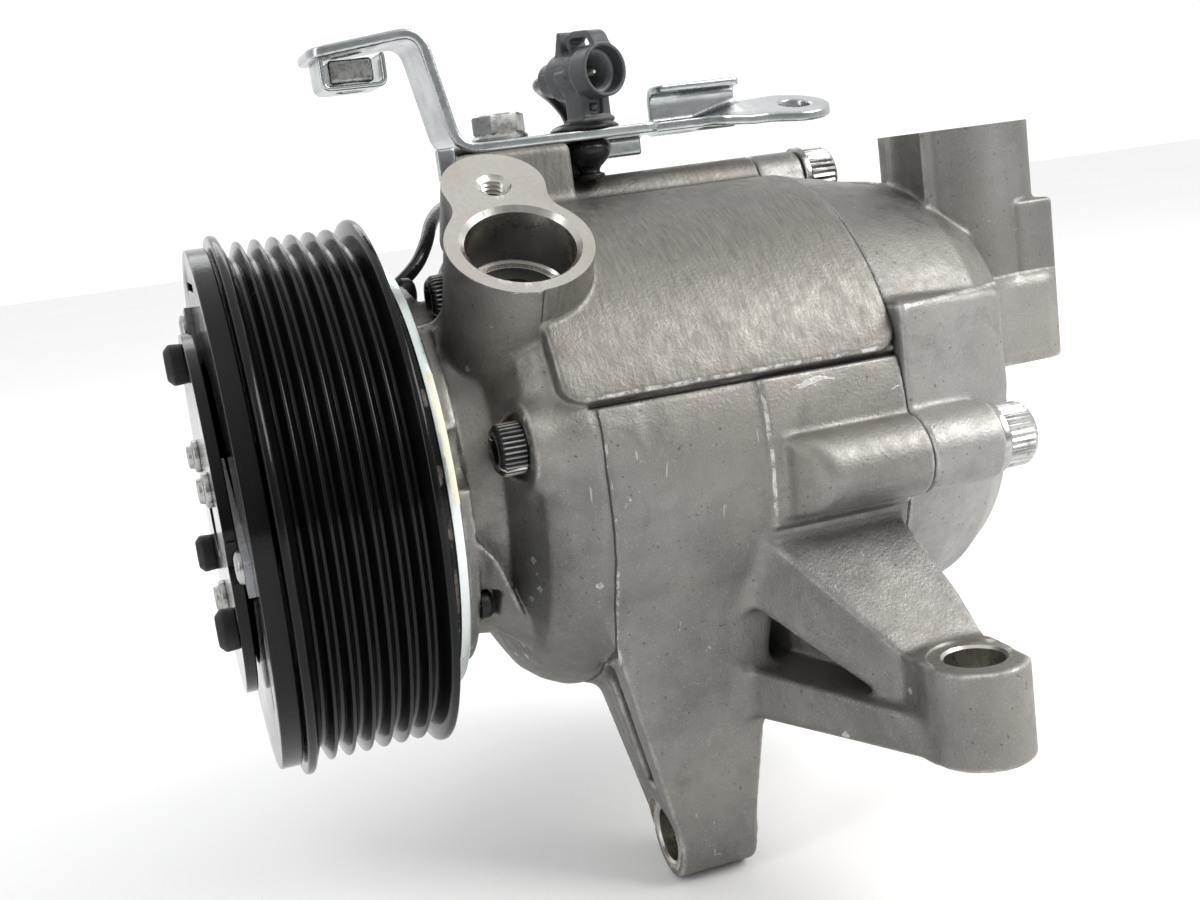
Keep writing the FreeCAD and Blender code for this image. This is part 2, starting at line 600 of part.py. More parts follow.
def make_suction_valve():
    """The pressed seat with its cage, the sprung plunger inside it and the spring."""
    floor = "suction_face-suction_depth-seat_pocket_depth"
    seat = new_body("suction_valve_seat")
    suction_rod(seat, floor, "seat_pocket_rad-0.02", "seat_pocket_depth")
    suction_rod(seat, "valve_floor", "seat_rad+1.4", floor + "-valve_floor+1")
    suction_rod(seat, "valve_floor+1.5", "seat_rad+0.4", floor + "-valve_floor-1.5", cut=True)
    suction_rod(seat, floor + "-1", "seat_rad-0.6", 6, cut=True)
    suction_rod(seat, "valve_floor-1", 2.6, 4, cut=True)
    y, z = along_suction("valve_floor+6")
    rod(seat, "X", ("suction_x-12", y, z), 3.2, 24, cut=True)
    plunger = new_body("suction_valve")
    suction_rod(plunger, floor + "-2.5", "seat_rad+0.3", 2.45)
    suction_rod(plunger, "valve_floor+4", 2.2, floor + "-valve_floor-6")
    helix = Part.makeHelix(1.2, 3.2, 3.6)
    section = Part.Wire(Part.makeCircle(0.4, FreeCAD.Vector(3.6, 0, 0), FreeCAD.Vector(0, 1, 0)))
    spring = shaped("suction_valve_spring", Part.Wire(helix).makePipeShell([section], True, True))
    y, z = (number(part) for part in along_suction("valve_floor+2.05"))
    spring.Placement = FreeCAD.Placement(FreeCAD.Vector(SIZES["suction_x"], y, z), SUCTION_TURN)


def make_separator():
    """The flanged tube that spins oil out of the gas below the discharge port."""
    body = new_body("oil_separator_tube")
    middle = ("discharge_x", "discharge_y")
    rod(body, "Z", (*middle, "separator_bottom+14"), 4.5, "discharge_face-separator_bottom-32")
    rod(body, "Z", (*middle, "discharge_face-19"), "separator_rad-0.02", 3)
    rod(body, "Z", (*middle, "separator_bottom+10"), 3.3, 60, cut=True)


# ---- clutch --------------------------------------------------------------------------------------

CLUTCH_PHASE = 3.74
LEAF_WIDTH = 8


def groove_points():
    """The rim's outline across the belt grooves, from the front lip to the back lip."""
    pitch, count = SIZES["groove_pitch"], SIZES["groove_count"]
    points = [("pulley_front", "ridge_rad-1"), ("pulley_front+0.6", "lip_rad"), (-13.0, "lip_rad")]
    for index in range(count):
        centre = (index - (count - 1) / 2) * pitch
        outer = "ridge_rad"
        points += [(centre - 1.35, outer), (centre - 0.3, "ridge_rad-groove_depth"),
                   (centre + 0.3, "ridge_rad-groove_depth"), (centre + 1.35, outer)]
    return points + [(13.0, "lip_rad"), ("pulley_back", "lip_rad-0.2")]


def make_pulley():
    body = new_body("pulley")
    revolved(body, groove_points() + [
        ("pulley_back", "rim_in_rad"), ("web_back", "rim_in_rad"), ("web_back", "wheel_hub_rad"),
        ("bearing_back+0.5", "wheel_hub_rad"), ("bearing_back+0.5", "wheel_bore_rad"),
        ("bearing_front-0.5", "wheel_bore_rad"), ("bearing_front-0.5", 24.5), ("pulley_front", 24.5)])
    slot = extruded(body, "YZ_Plane", [(-12, 34.5), (12, 34.5), (11, 37.5), (-11, 37.5)], "pulley_front-1",
                    "web_back-pulley_front+2", cut=True)
    repeated(body, [slot], 6)


def make_ball_bearing():
    """A double-row bearing between the pulley and the nose."""
    races = (("bearing_inner_race", "nose_rad", "ball_pitch_rad-1.3"),
             ("bearing_outer_race", "ball_pitch_rad+1.3", "wheel_bore_rad"))
    for label, low, high in races:
        race = ring(label, "bearing_front", "bearing_back", low, high)
        for side in (-1, 1):
            centre = number("(bearing_front+bearing_back)/2") + side * SIZES["ball_row"]
            groove = race.newObject("PartDesign::SubtractiveTorus", label + "_track")
            attach(groove, race, "XY_Plane", (centre, 0, 0), TURN["X"])
            groove.setExpression("Radius1", bound("ball_pitch_rad"))
            groove.setExpression("Radius2", bound("ball_rad+0.02"))
    balls = new_body("bearing_balls")
    cage = ring("bearing_cage", "bearing_front+1.6", "bearing_back-1.6", "ball_pitch_rad-0.7",
                "ball_pitch_rad+0.7")
    spheres, pockets = [], []
    for side in (-1, 1):
        centre = "(bearing_front+bearing_back)/2+%s*ball_row" % side
        for body, kind, grown, kept in ((balls, "Additive", 0, spheres),
                                        (cage, "Subtractive", 0.05, pockets)):
            ball = body.newObject("PartDesign::%sSphere" % kind, body.Label + "_ball")
            attach(ball, body, "XY_Plane", (centre, 0, "ball_pitch_rad"))
            ball.setExpression("Radius", bound("ball_rad+%s" % grown))
            kept.append(ball)
    repeated(balls, spheres, SIZES["ball_count"])
    repeated(cage, pockets, SIZES["ball_count"])
    clip = ring("bearing_snap_ring", "bearing_front-1.5", "bearing_front", 17.5, 19.8)
    block(clip, (-12, -3, 5), (0, 3, 30), cut=True)


def make_coil():
    """The field coil: a steel cup with its winding, and the plate that fixes it to the nose."""
    core = new_body("coil_core")
    revolved(core, [
        ("coil_front", "coil_in_rad"), ("coil_plate_front", "coil_in_rad"),
        ("coil_plate_front", "coil_out_rad"), ("coil_front", "coil_out_rad"),
        ("coil_front", "coil_out_rad-coil_wall"), ("coil_plate_front-3", "coil_out_rad-coil_wall"),
        ("coil_plate_front-3", "coil_in_rad+coil_wall"), ("coil_front", "coil_in_rad+coil_wall")])
    ring("coil_winding", "coil_front+2", "coil_plate_front-3", "coil_in_rad+coil_wall",
         "coil_out_rad-coil_wall")
    plate = new_body("coil_plate")
    revolved(plate, rectangle("coil_plate_front", "coil_plate_back", "shoulder_rad", "coil_out_rad+0.4"))
    screws = new_body("coil_screws")
    for angle in COIL_SCREW_ANGLES:
        y, z = polar(SIZES["coil_screw_circle"], angle)
        rod(plate, "X", ("coil_plate_front-1", y, z), 1.5, 5, cut=True)
        rod(screws, "X", ("coil_plate_front", y, z), 1.48, "flange_back-coil_plate_front")
        rod(screws, "X", ("flange_back", y, z), 3.1, 2.6)


def make_armature():
    body = ring("armature", "armature_front", "armature_back", "armature_in_rad", "armature_rad")
    slot = extruded(body, "YZ_Plane", [(-11, 44.5), (11, 44.5), (10.6, 46), (-10.6, 46)],
                    "armature_front-1", 8, cut=True)
    repeated(body, [slot], 3)
    rivets = new_body("armature_rivets")
    y, z = polar(SIZES["outer_rivet_circle"], CLUTCH_PHASE + 60)
    head = rod(rivets, "X", ("hub_back-1.4", y, z), "rivet_rad+0.9", 1.4)
    shank = rod(rivets, "X", ("hub_back-1.4", y, z), "rivet_rad", 6)
    repeated(rivets, [head, shank], 3)
    hole = rod(body, "X", ("armature_front-1", y, z), "rivet_rad", 8, cut=True)
    repeated(body, [hole], 3)


def make_leaf_springs():
    """Three leaves between the hub's plate and the armature, each riveted at both ends."""
    body = new_body("leaf_springs")
    for index in range(3):
        start = polar(SIZES["rivet_circle"], 34 + 120 * index)
        end = polar(SIZES["outer_rivet_circle"], CLUTCH_PHASE + 60 + 120 * index)
        run = math.hypot(end[0] - start[0], end[1] - start[1])
        lean = math.degrees(math.atan2(end[1] - start[1], end[0] - start[0]))
        turn = FreeCAD.Rotation(FreeCAD.Vector(1, 0, 0), lean)
        corner = turn.multVec(FreeCAD.Vector(0, -LEAF_WIDTH / 2, -LEAF_WIDTH / 2))
        leaf = body.newObject("PartDesign::AdditiveBox", "leaf")
        attach(leaf, body, "XY_Plane", ("hub_back", start[0] + corner.y, start[1] + corner.z), turn)
        leaf.setExpression("Length", bound("armature_front-hub_back"))
        leaf.Width = run + LEAF_WIDTH
        leaf.Height = LEAF_WIDTH
        for place in (start, end):
            rod(body, "X", ("hub_back-1", *place), "rivet_rad", 5, cut=True)


def make_hub():
    body = new_body("hub")
    revolved(body, [
        ("hub_front", 8.6), ("hub_front", "hub_rad"), ("hub_back", "hub_rad"), ("hub_back", "hub_boss_rad"),
        ("hub_boss_back", "hub_boss_rad"), ("hub_boss_back", "spline_rad"),
        ("shaft_front", "spline_rad"), ("shaft_front", 8.6)])
    rivets = new_body("hub_rivets")
    y, z = polar(SIZES["rivet_circle"], 34)
    parts = [rod(rivets, "X", ("hub_front-2.4", y, z), "rivet_rad+1.3", 2.4),
             rod(rivets, "X", ("hub_front-2.4", y, z), "rivet_rad", "armature_front-hub_front+2.4")]
    repeated(rivets, parts, 3)
    hole = rod(body, "X", ("hub_front-1", y, z), "rivet_rad", 8, cut=True)
    repeated(body, [hole], 3)
    clear = rod(body, "X", ("hub_front-1", *polar(SIZES["outer_rivet_circle"], CLUTCH_PHASE + 60)), 6, 4,
                cut=True)
    repeated(body, [clear], 3)
    y, z = polar(SIZES["stopper_circle"], CLUTCH_PHASE + 90)
    hole = rod(body, "X", ("hub_front-1", y, z), 3, 8, cut=True)
    repeated(body, [hole], 3)
    stoppers = new_body("hub_stoppers")
    cone = revolved(stoppers, [("hub_front-3.8", 0), ("hub_front-3.8", 2.8), ("hub_front-2.6", 4.1),
                               ("hub_front", 3.8), ("hub_front", 3), ("hub_back", 3), ("hub_back", 0)],
                    at=(y, z))
    repeated(stoppers, [cone], 3)
    bolt = new_body("hub_bolt")
    rod(bolt, "X", ("shaft_front-5", 0, 0), 6.4, 5)
    rod(bolt, "X", ("shaft_front", 0, 0), 2.95, 13)
    rod(bolt, "X", ("shaft_front-5", 0, 0), 2.5, 3, cut=True)
    ring("hub_shim", "hub_boss_back", -8.9, "spline_rad+0.05", 9.8)


# ---- wiring --------------------------------------------------------------------------------------

LEAD_ROUTE = [
    LEAD_START, (26.6, 5.2, 42.0), (30.8, 9.0, 47.0), (34.0, 16.5, 51.6), (39.0, 25.0, 54.2),
    (46.0, 31.0, 55.2), (55.0, 35.0, 56.0), (63.6, 37.4, 56.8), (71.0, 38.0, 59.2), (75.4, 36.6, 64.4),
    (74.4, 34.8, 70.6), (70.4, 32.3, 75.2), (66.2, 28.6, 77.6), (64.1, 23.25, 78.2), (65.66, 18.5, 78.2)]
PLUG_TURN = FreeCAD.Rotation(UP, SIZES["plug_yaw"])


def make_lead():
    """The coil's lead, a tube of straight runs joined by tangent arcs, behind the bracket block."""
    points = [FreeCAD.Vector(*point) for point in LEAD_ROUTE]
    edges, start, radii = [], points[0], []
    for before, corner, after in zip(points, points[1:], points[2:]):
        back, ahead = (before - corner), (after - corner)
        half = (math.pi - back.getAngle(ahead)) / 2
        reach = 0.45 * min(back.Length, ahead.Length)
        radii.append(reach / math.tan(half))
        back.normalize()
        ahead.normalize()
        inward = back + ahead
        inward.normalize()
        centre = corner + inward * (radii[-1] / math.cos(half))
        first, last = corner + back * reach, corner + ahead * reach
        edges.append(Part.LineSegment(start, first).toShape())
        edges.append(Part.Arc(first, centre - inward * radii[-1], last).toShape())
        start = last
    edges.append(Part.LineSegment(start, points[-1]).toShape())
    path = Part.Wire(edges)
    section = Part.Wire(Part.makeCircle(SIZES["lead_dia"] / 2, points[0], points[1] - points[0]))
    tube = path.makePipeShell([section], True, True)
    shaped("clutch_lead", tube)
    ideal = math.pi * (SIZES["lead_dia"] / 2) ** 2 * path.Length
    print("lead radii", [round(radius, 1) for radius in radii], "length", round(path.Length, 1))
    print("lead volume over section times length", round(tube.Volume / ideal, 4))


def along_plug(depth, side=0):
    """The x and y of a point behind the plug's mouth, and beside its axis."""
    return ("plug_x-(%s)*sin(plug_yaw)+(%s)*cos(plug_yaw)" % (depth, side),
            "plug_y+(%s)*cos(plug_yaw)+(%s)*sin(plug_yaw)" % (depth, side))


def plug_rod(body, depth, radius, length, cut=False):
    x, y = along_plug(depth)
    return rod(body, "Y", (x, y, "plug_z"), radius, length, cut=cut, turn=PLUG_TURN * TURN["Y"])


def plug_block(body, depth, side, height, size, cut=False):
    """A box square to the plug, from its near lower corner; size is across, along and up."""
    made = body.newObject("PartDesign::%sBox" % ("Subtractive" if cut else "Additive"), "plug_block")
    x, y = along_plug(depth, side)
    attach(made, body, "XY_Plane", (x, y, "plug_z+(%s)" % height), PLUG_TURN)
    made.Length, made.Width, made.Height = size
    return made


def make_connector():
    body = new_body("connector_body")
    plug_rod(body, 0, "plug_rad", 15.5)
    plug_rod(body, 13, 3.7, 7.5)
    plug_block(body, 4.6, -3.7, -10.6, (7.4, 6.4, 8))
    plug_block(body, 11.3, -3, 3, (6, 1.6, 6.2))
    plug_block(body, 1.5, -2.2, 4.5, (4.4, 8.5, 4))
    plug_block(body, 6, -3, 6.3, (6, 1.8, 1.4), cut=True)
    plug_rod(body, -1, "plug_rad-1.2", 13, cut=True)
    plug_rod(body, 10, 0.8, 9, cut=True)
    pin = new_body("connector_pin")
    plug_rod(pin, 4, 0.78, 14.5)
    clip = new_body("connector_clip")
    top = "bracket_bottom+bracket_thick"
    rod(clip, "Z", ("clip_x", "clip_y", top), 7.4, 1.2)
    rod(clip, "Z", ("clip_x", "clip_y", "bracket_bottom-8"), 3.2, "bracket_thick+8.2")
    barb = clip.newObject("PartDesign::AdditiveCone", "clip_barb")
    attach(barb, clip, "XY_Plane", ("clip_x", "clip_y", "bracket_bottom-6"))
    barb.Radius1 = 2.2
    barb.Radius2 = 4.6
    barb.Height = 5.8


def make_bracket():
    """A bent strip of plated steel with an ear, an upright flange and a short flange below."""
    body = new_body("bracket")
    low, high = "bracket_bottom", "bracket_bottom+bracket_thick"
    side = [(37, low), (84, low), (84, high), (40.5, high), (35.0, 90.8), (12, 88.4), (12, 86.2),
            (32.6, 88.4)]
    extruded(body, "XZ_Plane", side, "-bracket_far", "bracket_far-bracket_near")
    block(body, (76, 8, low), (100, "bracket_far", high))
    block(body, (98, 6, "bracket_bottom+0.8"), (121, "bracket_far", "bracket_bottom+0.8+bracket_thick"))
    rod(body, "Z", (121, 12, "bracket_bottom+0.8"), 8, "bracket_thick")
    block(body, (88, "bracket_far-bracket_thick", low), (109, "bracket_far", 74.5))
    block(body, (88, "bracket_far-8", "74.5-1.6"), (109, "bracket_far", 74.5))
    block(body, (72, "bracket_far-bracket_thick", 60), (85, "bracket_far", high))
    block(body, (33.8, 0, 59.2), (37.8, "bracket_thick", 66))
    for x, y, radius in (("bracket_bolt_x", "bracket_bolt_y", 3.3), ("clip_x", "clip_y", 3.3), (121, 12, 3.6),
                         (20, 10, 3.4)):
        rod(body, "Z", (x, y, 50), radius, 60, cut=True)
    make_bracket_fasteners()


def make_bracket_fasteners():
    bolt = new_body("bracket_bolt")
    top = "bracket_bottom+bracket_thick"
    rod(bolt, "Z", ("bracket_bolt_x", "bracket_bolt_y", "bracket_bottom-11"), 2.95, 14)
    rod(bolt, "Z", ("bracket_bolt_x", "bracket_bolt_y", top), 6, 1.2)
    head = bolt.newObject("PartDesign::AdditivePrism", "bolt_hexagon")
    attach(head, bolt, "XY_Plane", ("bracket_bolt_x", "bracket_bolt_y", top + "+1.2"))
    head.Circumradius = 5.75
    head.Height = 4.3
    nut = new_body("bracket_nut")
    block(nut, (15.5, 5.5, 81.2), (24.5, 14.5, 86.2))
    rod(nut, "Z", (20, 10, 80), 2.6, 10, cut=True)
    cage = new_body("bracket_nut_cage")
    block(cage, (13.2, 3.2, 79.8), (26.8, 16.8, 86.2))
    block(cage, (14.2, 2, 81.0), (25.8, 18, 87), cut=True)
    rod(cage, "Z", (20, 10, 78), 3.4, 10, cut=True)


def make_grommet():
    body = new_body("lead_grommet")
    end, y, z = LEAD_START
    rod(body, "X", ("coil_plate_back", y, z), 2.4, "%s-coil_plate_back" % (end - 0.05))


# ---- assembly ------------------------------------------------------------------------------------

def check_and_write():
    doc.recompute()
    for item in doc.Objects:
        if {"Invalid", "Error"} & set(item.State):
            raise RuntimeError("failed object: %s %s" % (item.Name, item.State))
    os.makedirs("parts", exist_ok=True)
    for node in nodes:
        shape = node.Shape
        if shape.isNull() or not shape.isValid():
            raise RuntimeError("bad shape: " + node.Label)
        print(node.Label, len(shape.Solids), "solid(s)", round(shape.Volume), "mm3")
        shape.exportStep("parts/%s.step" % node.Label)


make_main_housing()
make_rear_head()
make_seal_ring()
make_rear_bolts()
make_front_screws()
make_side_blocks()
make_cylinder_block()
make_valves()
make_block_screws()
make_rotor()
make_vanes()
make_needle_bearing("front", "(front_block+bearing_inset)")
make_needle_bearing("rear", "cylinder_back")
make_shaft_seal()
make_suction_valve()
make_separator()
make_pulley()
make_ball_bearing()
make_coil()
make_armature()
make_leaf_springs()
make_hub()
make_lead()
make_grommet()
make_connector()
make_bracket()
check_and_write()
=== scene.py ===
import json
import math

import bmesh
import bpy
import numpy as np
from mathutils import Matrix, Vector


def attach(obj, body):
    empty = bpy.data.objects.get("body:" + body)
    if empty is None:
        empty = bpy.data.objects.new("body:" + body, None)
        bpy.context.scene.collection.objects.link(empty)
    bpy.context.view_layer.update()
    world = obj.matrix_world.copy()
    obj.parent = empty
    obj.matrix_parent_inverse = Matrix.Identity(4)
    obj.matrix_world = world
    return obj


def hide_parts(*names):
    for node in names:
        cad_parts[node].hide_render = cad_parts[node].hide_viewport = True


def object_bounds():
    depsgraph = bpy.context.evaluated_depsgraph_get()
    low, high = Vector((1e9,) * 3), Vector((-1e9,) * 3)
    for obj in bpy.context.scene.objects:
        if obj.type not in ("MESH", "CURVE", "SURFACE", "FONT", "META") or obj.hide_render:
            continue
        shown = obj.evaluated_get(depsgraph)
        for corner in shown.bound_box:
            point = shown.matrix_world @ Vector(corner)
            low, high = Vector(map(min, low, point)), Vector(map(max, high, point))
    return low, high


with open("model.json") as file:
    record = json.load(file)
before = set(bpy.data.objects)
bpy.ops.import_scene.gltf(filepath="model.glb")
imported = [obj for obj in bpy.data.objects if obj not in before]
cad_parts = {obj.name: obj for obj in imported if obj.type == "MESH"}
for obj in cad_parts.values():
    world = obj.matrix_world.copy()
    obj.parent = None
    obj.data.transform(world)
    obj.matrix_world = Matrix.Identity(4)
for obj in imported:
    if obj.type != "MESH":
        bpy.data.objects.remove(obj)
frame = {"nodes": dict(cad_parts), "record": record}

# Looks for a belt-driven rotary compressor. X is the shaft axis with the clutch at -X, Z is up.
# Shapes are worked out in millimetres and scaled to metres when a mesh is made.

MM = 0.001
CAD_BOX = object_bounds()

# ---- sizes in millimetres, as in the CAD part ----

PARTING = 45.7
JOINT = 108.0
BOLT_CIRCLE = 51.4
# The four long bolts: angle, boss radius, where the boss starts and the head's seat.
REAR_BOLTS = [(292.5, 6.5, 59.0, 119.0), (4.5, 6.5, 59.0, 119.0), (76.5, 6.5, 59.0, 119.0),
              (184.5, 8.0, 80.0, 124.0)]
SCREW_CIRCLE = 41.3
SCREW_ANGLES = (38.1, 166.7, 306, 346.7)
SCREW_FACE = 33.0
SHORT_SCREW_ANGLE = 115.7
SHORT_SCREW_FACE = 28.0
COIL_SCREW_ANGLES = (93, 213, 333)
COIL_SCREW_CIRCLE = 38.2
SUCTION_X = 39.3
SUCTION_TILT = math.radians(37.4)
SUCTION_FACE = 58.4
SUCTION_RAD = 14.3
SUCTION_LUG = 18.1
DISCHARGE = (145.0, -14.0)
DISCHARGE_LUG = (149.0, 4.5)
DISCHARGE_FACE = 56.8
FOOT = (100.0, -80.0)
FOOT_TOP, FOOT_BOTTOM = -35.6, -54.0
LUG_Y, LUG_Z = -30.0, -78.6
LUG_FRONT, LUG_BACK = 54.7, 71.5
MOUNT_BORE = 5.5
BRACKET_BOTTOM = 64.2
BRACKET_THICK = 2.2
BRACKET_TOP = BRACKET_BOTTOM + BRACKET_THICK
BRACKET_BOLT = (49.7, 8.0)
BRACKET_NUT = (20.0, 10.0)
M6_TAP = 2.6
WASHER_THICK = 1.5
PLUG = (72.0, -1.0, 78.2)
PLUG_COSINE, PLUG_SINE = math.cos(math.radians(18)), math.sin(math.radians(18))
CLIP = (68.2, 6.6)
LEAD_ROUTE = [
    (21.8, 4.0, 39.2), (26.6, 5.2, 42.0), (30.8, 9.0, 47.0), (34.0, 16.5, 51.6), (39.0, 25.0, 54.2),
    (46.0, 31.0, 55.2), (55.0, 35.0, 56.0), (63.6, 37.4, 56.8), (71.0, 38.0, 59.2), (75.4, 36.6, 64.4),
    (74.4, 34.8, 70.6), (70.4, 32.3, 75.2), (66.2, 28.6, 77.6), (64.1, 23.25, 78.2), (65.66, 18.5, 78.2)]
LEAD_DIAMETER = 3.0

UP_PORT = np.array([0.0, -math.sin(SUCTION_TILT), math.cos(SUCTION_TILT)])
ACROSS_PORT = np.array([0.0, math.cos(SUCTION_TILT), math.sin(SUCTION_TILT)])
ALONG_X = np.array([1.0, 0.0, 0.0])
UP = np.array([0.0, 0.0, 1.0])


def port_point(height, across=0.0, x=SUCTION_X):
    """A point up the suction port's axis and across it."""
    return np.array([x, 0.0, 0.0]) + height * UP_PORT + across * ACROSS_PORT


def polar(x, radius, angle):
    """A point round the shaft axis; 0 is +Y, 90 is up and 180 is -Y."""
    turn = math.radians(angle)
    return np.array([x, radius * math.cos(turn), radius * math.sin(turn)])


# ---- distance fields for the castings ----

def joined(a, b, soft):
    """The union of two solids with a fillet about as wide as soft."""
    if soft <= 0:
        return np.minimum(a, b)
    near = np.maximum(soft - np.abs(a - b), 0) / soft
    return np.minimum(a, b) - near * near * soft * 0.25


def cut_away(a, b, soft=0.0):
    return -joined(-a, b, soft)


def both(a, b, soft=0.0):
    return -joined(-a, -b, soft)


def rod(points, start, end, radius, end_radius=None):
    start, end = np.asarray(start, np.float32), np.asarray(end, np.float32)
    axis = end - start
    length = float(np.linalg.norm(axis))
    axis = axis / length
    along = (points - start) @ axis
    away = points - start - along[:, None] * axis
    away = np.sqrt(np.einsum("ij,ij->i", away, away))
    if end_radius is not None:
        radius = radius + (end_radius - radius) * np.clip(along / length, 0, 1)
    return np.maximum(away - radius, np.abs(along - length / 2) - length / 2)


def shaftwise(points, circle, angle, start, end, radius):
    """A rod parallel to the shaft, from one x to another."""
    return rod(points, polar(start, circle, angle), polar(end, circle, angle), radius)


def box(points, low, high, edge=0.0):
    low, high = np.asarray(low, np.float32), np.asarray(high, np.float32)
    q = np.abs(points - (low + high) / 2) - (high - low) / 2 + edge
    outside = np.sqrt(np.einsum("ij,ij->i", np.maximum(q, 0), np.maximum(q, 0)))
    return outside + np.minimum(q.max(axis=1), 0) - edge


def squared_gap(u, v, start, end):
    """The squared distance to a straight line between two points in a plane."""
    (au, av), (bu, bv) = start, end
    eu, ev = bu - au, bv - av
    wu, wv = u - au, v - av
    t = np.clip((wu * eu + wv * ev) / (eu * eu + ev * ev), 0, 1)
    return (wu - t * eu) ** 2 + (wv - t * ev) ** 2


def polygon(u, v, corners):
    """Signed distance to a closed polygon in a plane."""
    corners = np.asarray(corners, np.float32)
    best = np.full(u.shape, 1e9, np.float32)
    sign = np.ones(u.shape, np.float32)
    for start, end in zip(corners, np.roll(corners, -1, axis=0)):
        best = np.minimum(best, squared_gap(u, v, start, end))
        above, below = v >= start[1], v < end[1]
        left = (end[0] - start[0]) * (v - start[1]) > (end[1] - start[1]) * (u - start[0])
        flip = (above & below & left) | (~above & ~below & ~left)
        sign = np.where(flip, -sign, sign)
    return sign * np.sqrt(best)


def turned(points, profile):
    """A solid of revolution about the shaft axis, from (x, radius) pairs."""
    radius = np.hypot(points[:, 1], points[:, 2])
    return polygon(points[:, 0], radius, profile)


def hull(points, corners, soft=0.0):
    """The convex solid through some corners."""
    bm = bmesh.new()
    for corner in corners:
        bm.verts.new([float(value) for value in corner])
    bmesh.ops.convex_hull(bm, input=bm.verts)
    planes = {}
    for face in bm.faces:
        face.normal_update()
        n = face.normal
        key = (round(n.x, 3), round(n.y, 3), round(n.z, 3))
        planes[key] = (np.array(n, np.float32), float(n.dot(face.verts[0].co)))
    bm.free()
    solid = None
    for normal, offset in planes.values():
        side = points @ normal - offset
        solid = side if solid is None else both(solid, side, soft)
    return solid


def loft_corners(axis, level_a, rect_a, level_b, rect_b):
    """The eight corners of a tapered arm between two rectangles on parallel planes."""
    corners = []
    for level, (lo_u, hi_u, lo_v, hi_v) in ((level_a, rect_a), (level_b, rect_b)):
        for u in (lo_u, hi_u):
            for v in (lo_v, hi_v):
                corners.append({"X": (level, u, v), "Y": (u, level, v), "Z": (u, v, level)}[axis])
    return corners


def sector(points, low, high):
    """How far a point is, round the shaft axis, outside a wedge between two angles."""
    turn = np.degrees(np.arctan2(points[:, 2], points[:, 1]))
    off = np.abs((turn - (low + high) / 2 + 180) % 360 - 180) - (high - low) / 2
    return np.radians(off) * np.hypot(points[:, 1], points[:, 2])


def rounded_corner(u, v):
    """The distance outside a corner, from how far a point is past each of its two sides."""
    return np.hypot(np.maximum(u, 0), np.maximum(v, 0)) + np.minimum(np.maximum(u, v), 0)


def sector_plate(points, x_low, x_high, angle_low, angle_high, inner, outer, corner):
    """A raised plate wrapped round the shaft axis, with rounded corners."""
    radius = np.hypot(points[:, 1], points[:, 2])
    u = np.abs(points[:, 0] - (x_low + x_high) / 2) - (x_high - x_low) / 2 + corner
    v = sector(points, angle_low, angle_high) + corner
    return np.maximum(np.maximum(radius - outer, inner - radius), rounded_corner(u, v) - corner)


def strip(u, v, path, thickness):
    """A band of even thickness along a path in a plane."""
    best = np.full(u.shape, 1e9, np.float32)
    for start, end in zip(path, path[1:]):
        best = np.minimum(best, squared_gap(u, v, start, end))
    return np.sqrt(best) - thickness / 2


# ---- meshes from distance fields ----

def blurred(values):
    """A small separable blur that rounds every edge by about a grid step."""
    for axis in range(3):
        ahead = np.roll(values, 1, axis)
        behind = np.roll(values, -1, axis)
        values = (ahead + behind) * 0.25 + values * 0.5
    return values


def sampled(field, low, high, step):
    """Field values on a grid, worked out finely only near the surface."""
    low = np.asarray(low, np.float32)
    rough = 5
    count = np.ceil((np.asarray(high) - low) / (step * rough)).astype(int) + 1
    axes = [low[i] + np.arange(count[i]) * step * rough for i in range(3)]
    grid = np.stack(np.meshgrid(*axes, indexing="ij"), -1).reshape(-1, 3).astype(np.float32)
    coarse = field(grid).reshape(count)
    blocks = count - 1
    nearest = np.full(blocks, 1e9, np.float32)
    inside = np.ones(blocks, bool)
    for i in range(2):
        for j in range(2):
            for k in range(2):
                part = coarse[i:i + blocks[0], j:j + blocks[1], k:k + blocks[2]]
                nearest = np.minimum(nearest, np.abs(part))
                inside &= part < 0
    active = np.argwhere(nearest < step * rough * 1.3)
    fine = np.where(inside, -9.0, 9.0).astype(np.float32)
    fine = np.repeat(np.repeat(np.repeat(fine, rough, 0), rough, 1), rough, 2)
    inner = np.stack(np.meshgrid(*[np.arange(rough)] * 3, indexing="ij"), -1).reshape(-1, 3)
    batch = 6000
    for start in range(0, len(active), batch):
        cells = (active[start:start + batch, None, :] * rough + inner[None]).reshape(-1, 3)
        places = low + cells.astype(np.float32) * step
        fine[cells[:, 0], cells[:, 1], cells[:, 2]] = field(places)
    return fine


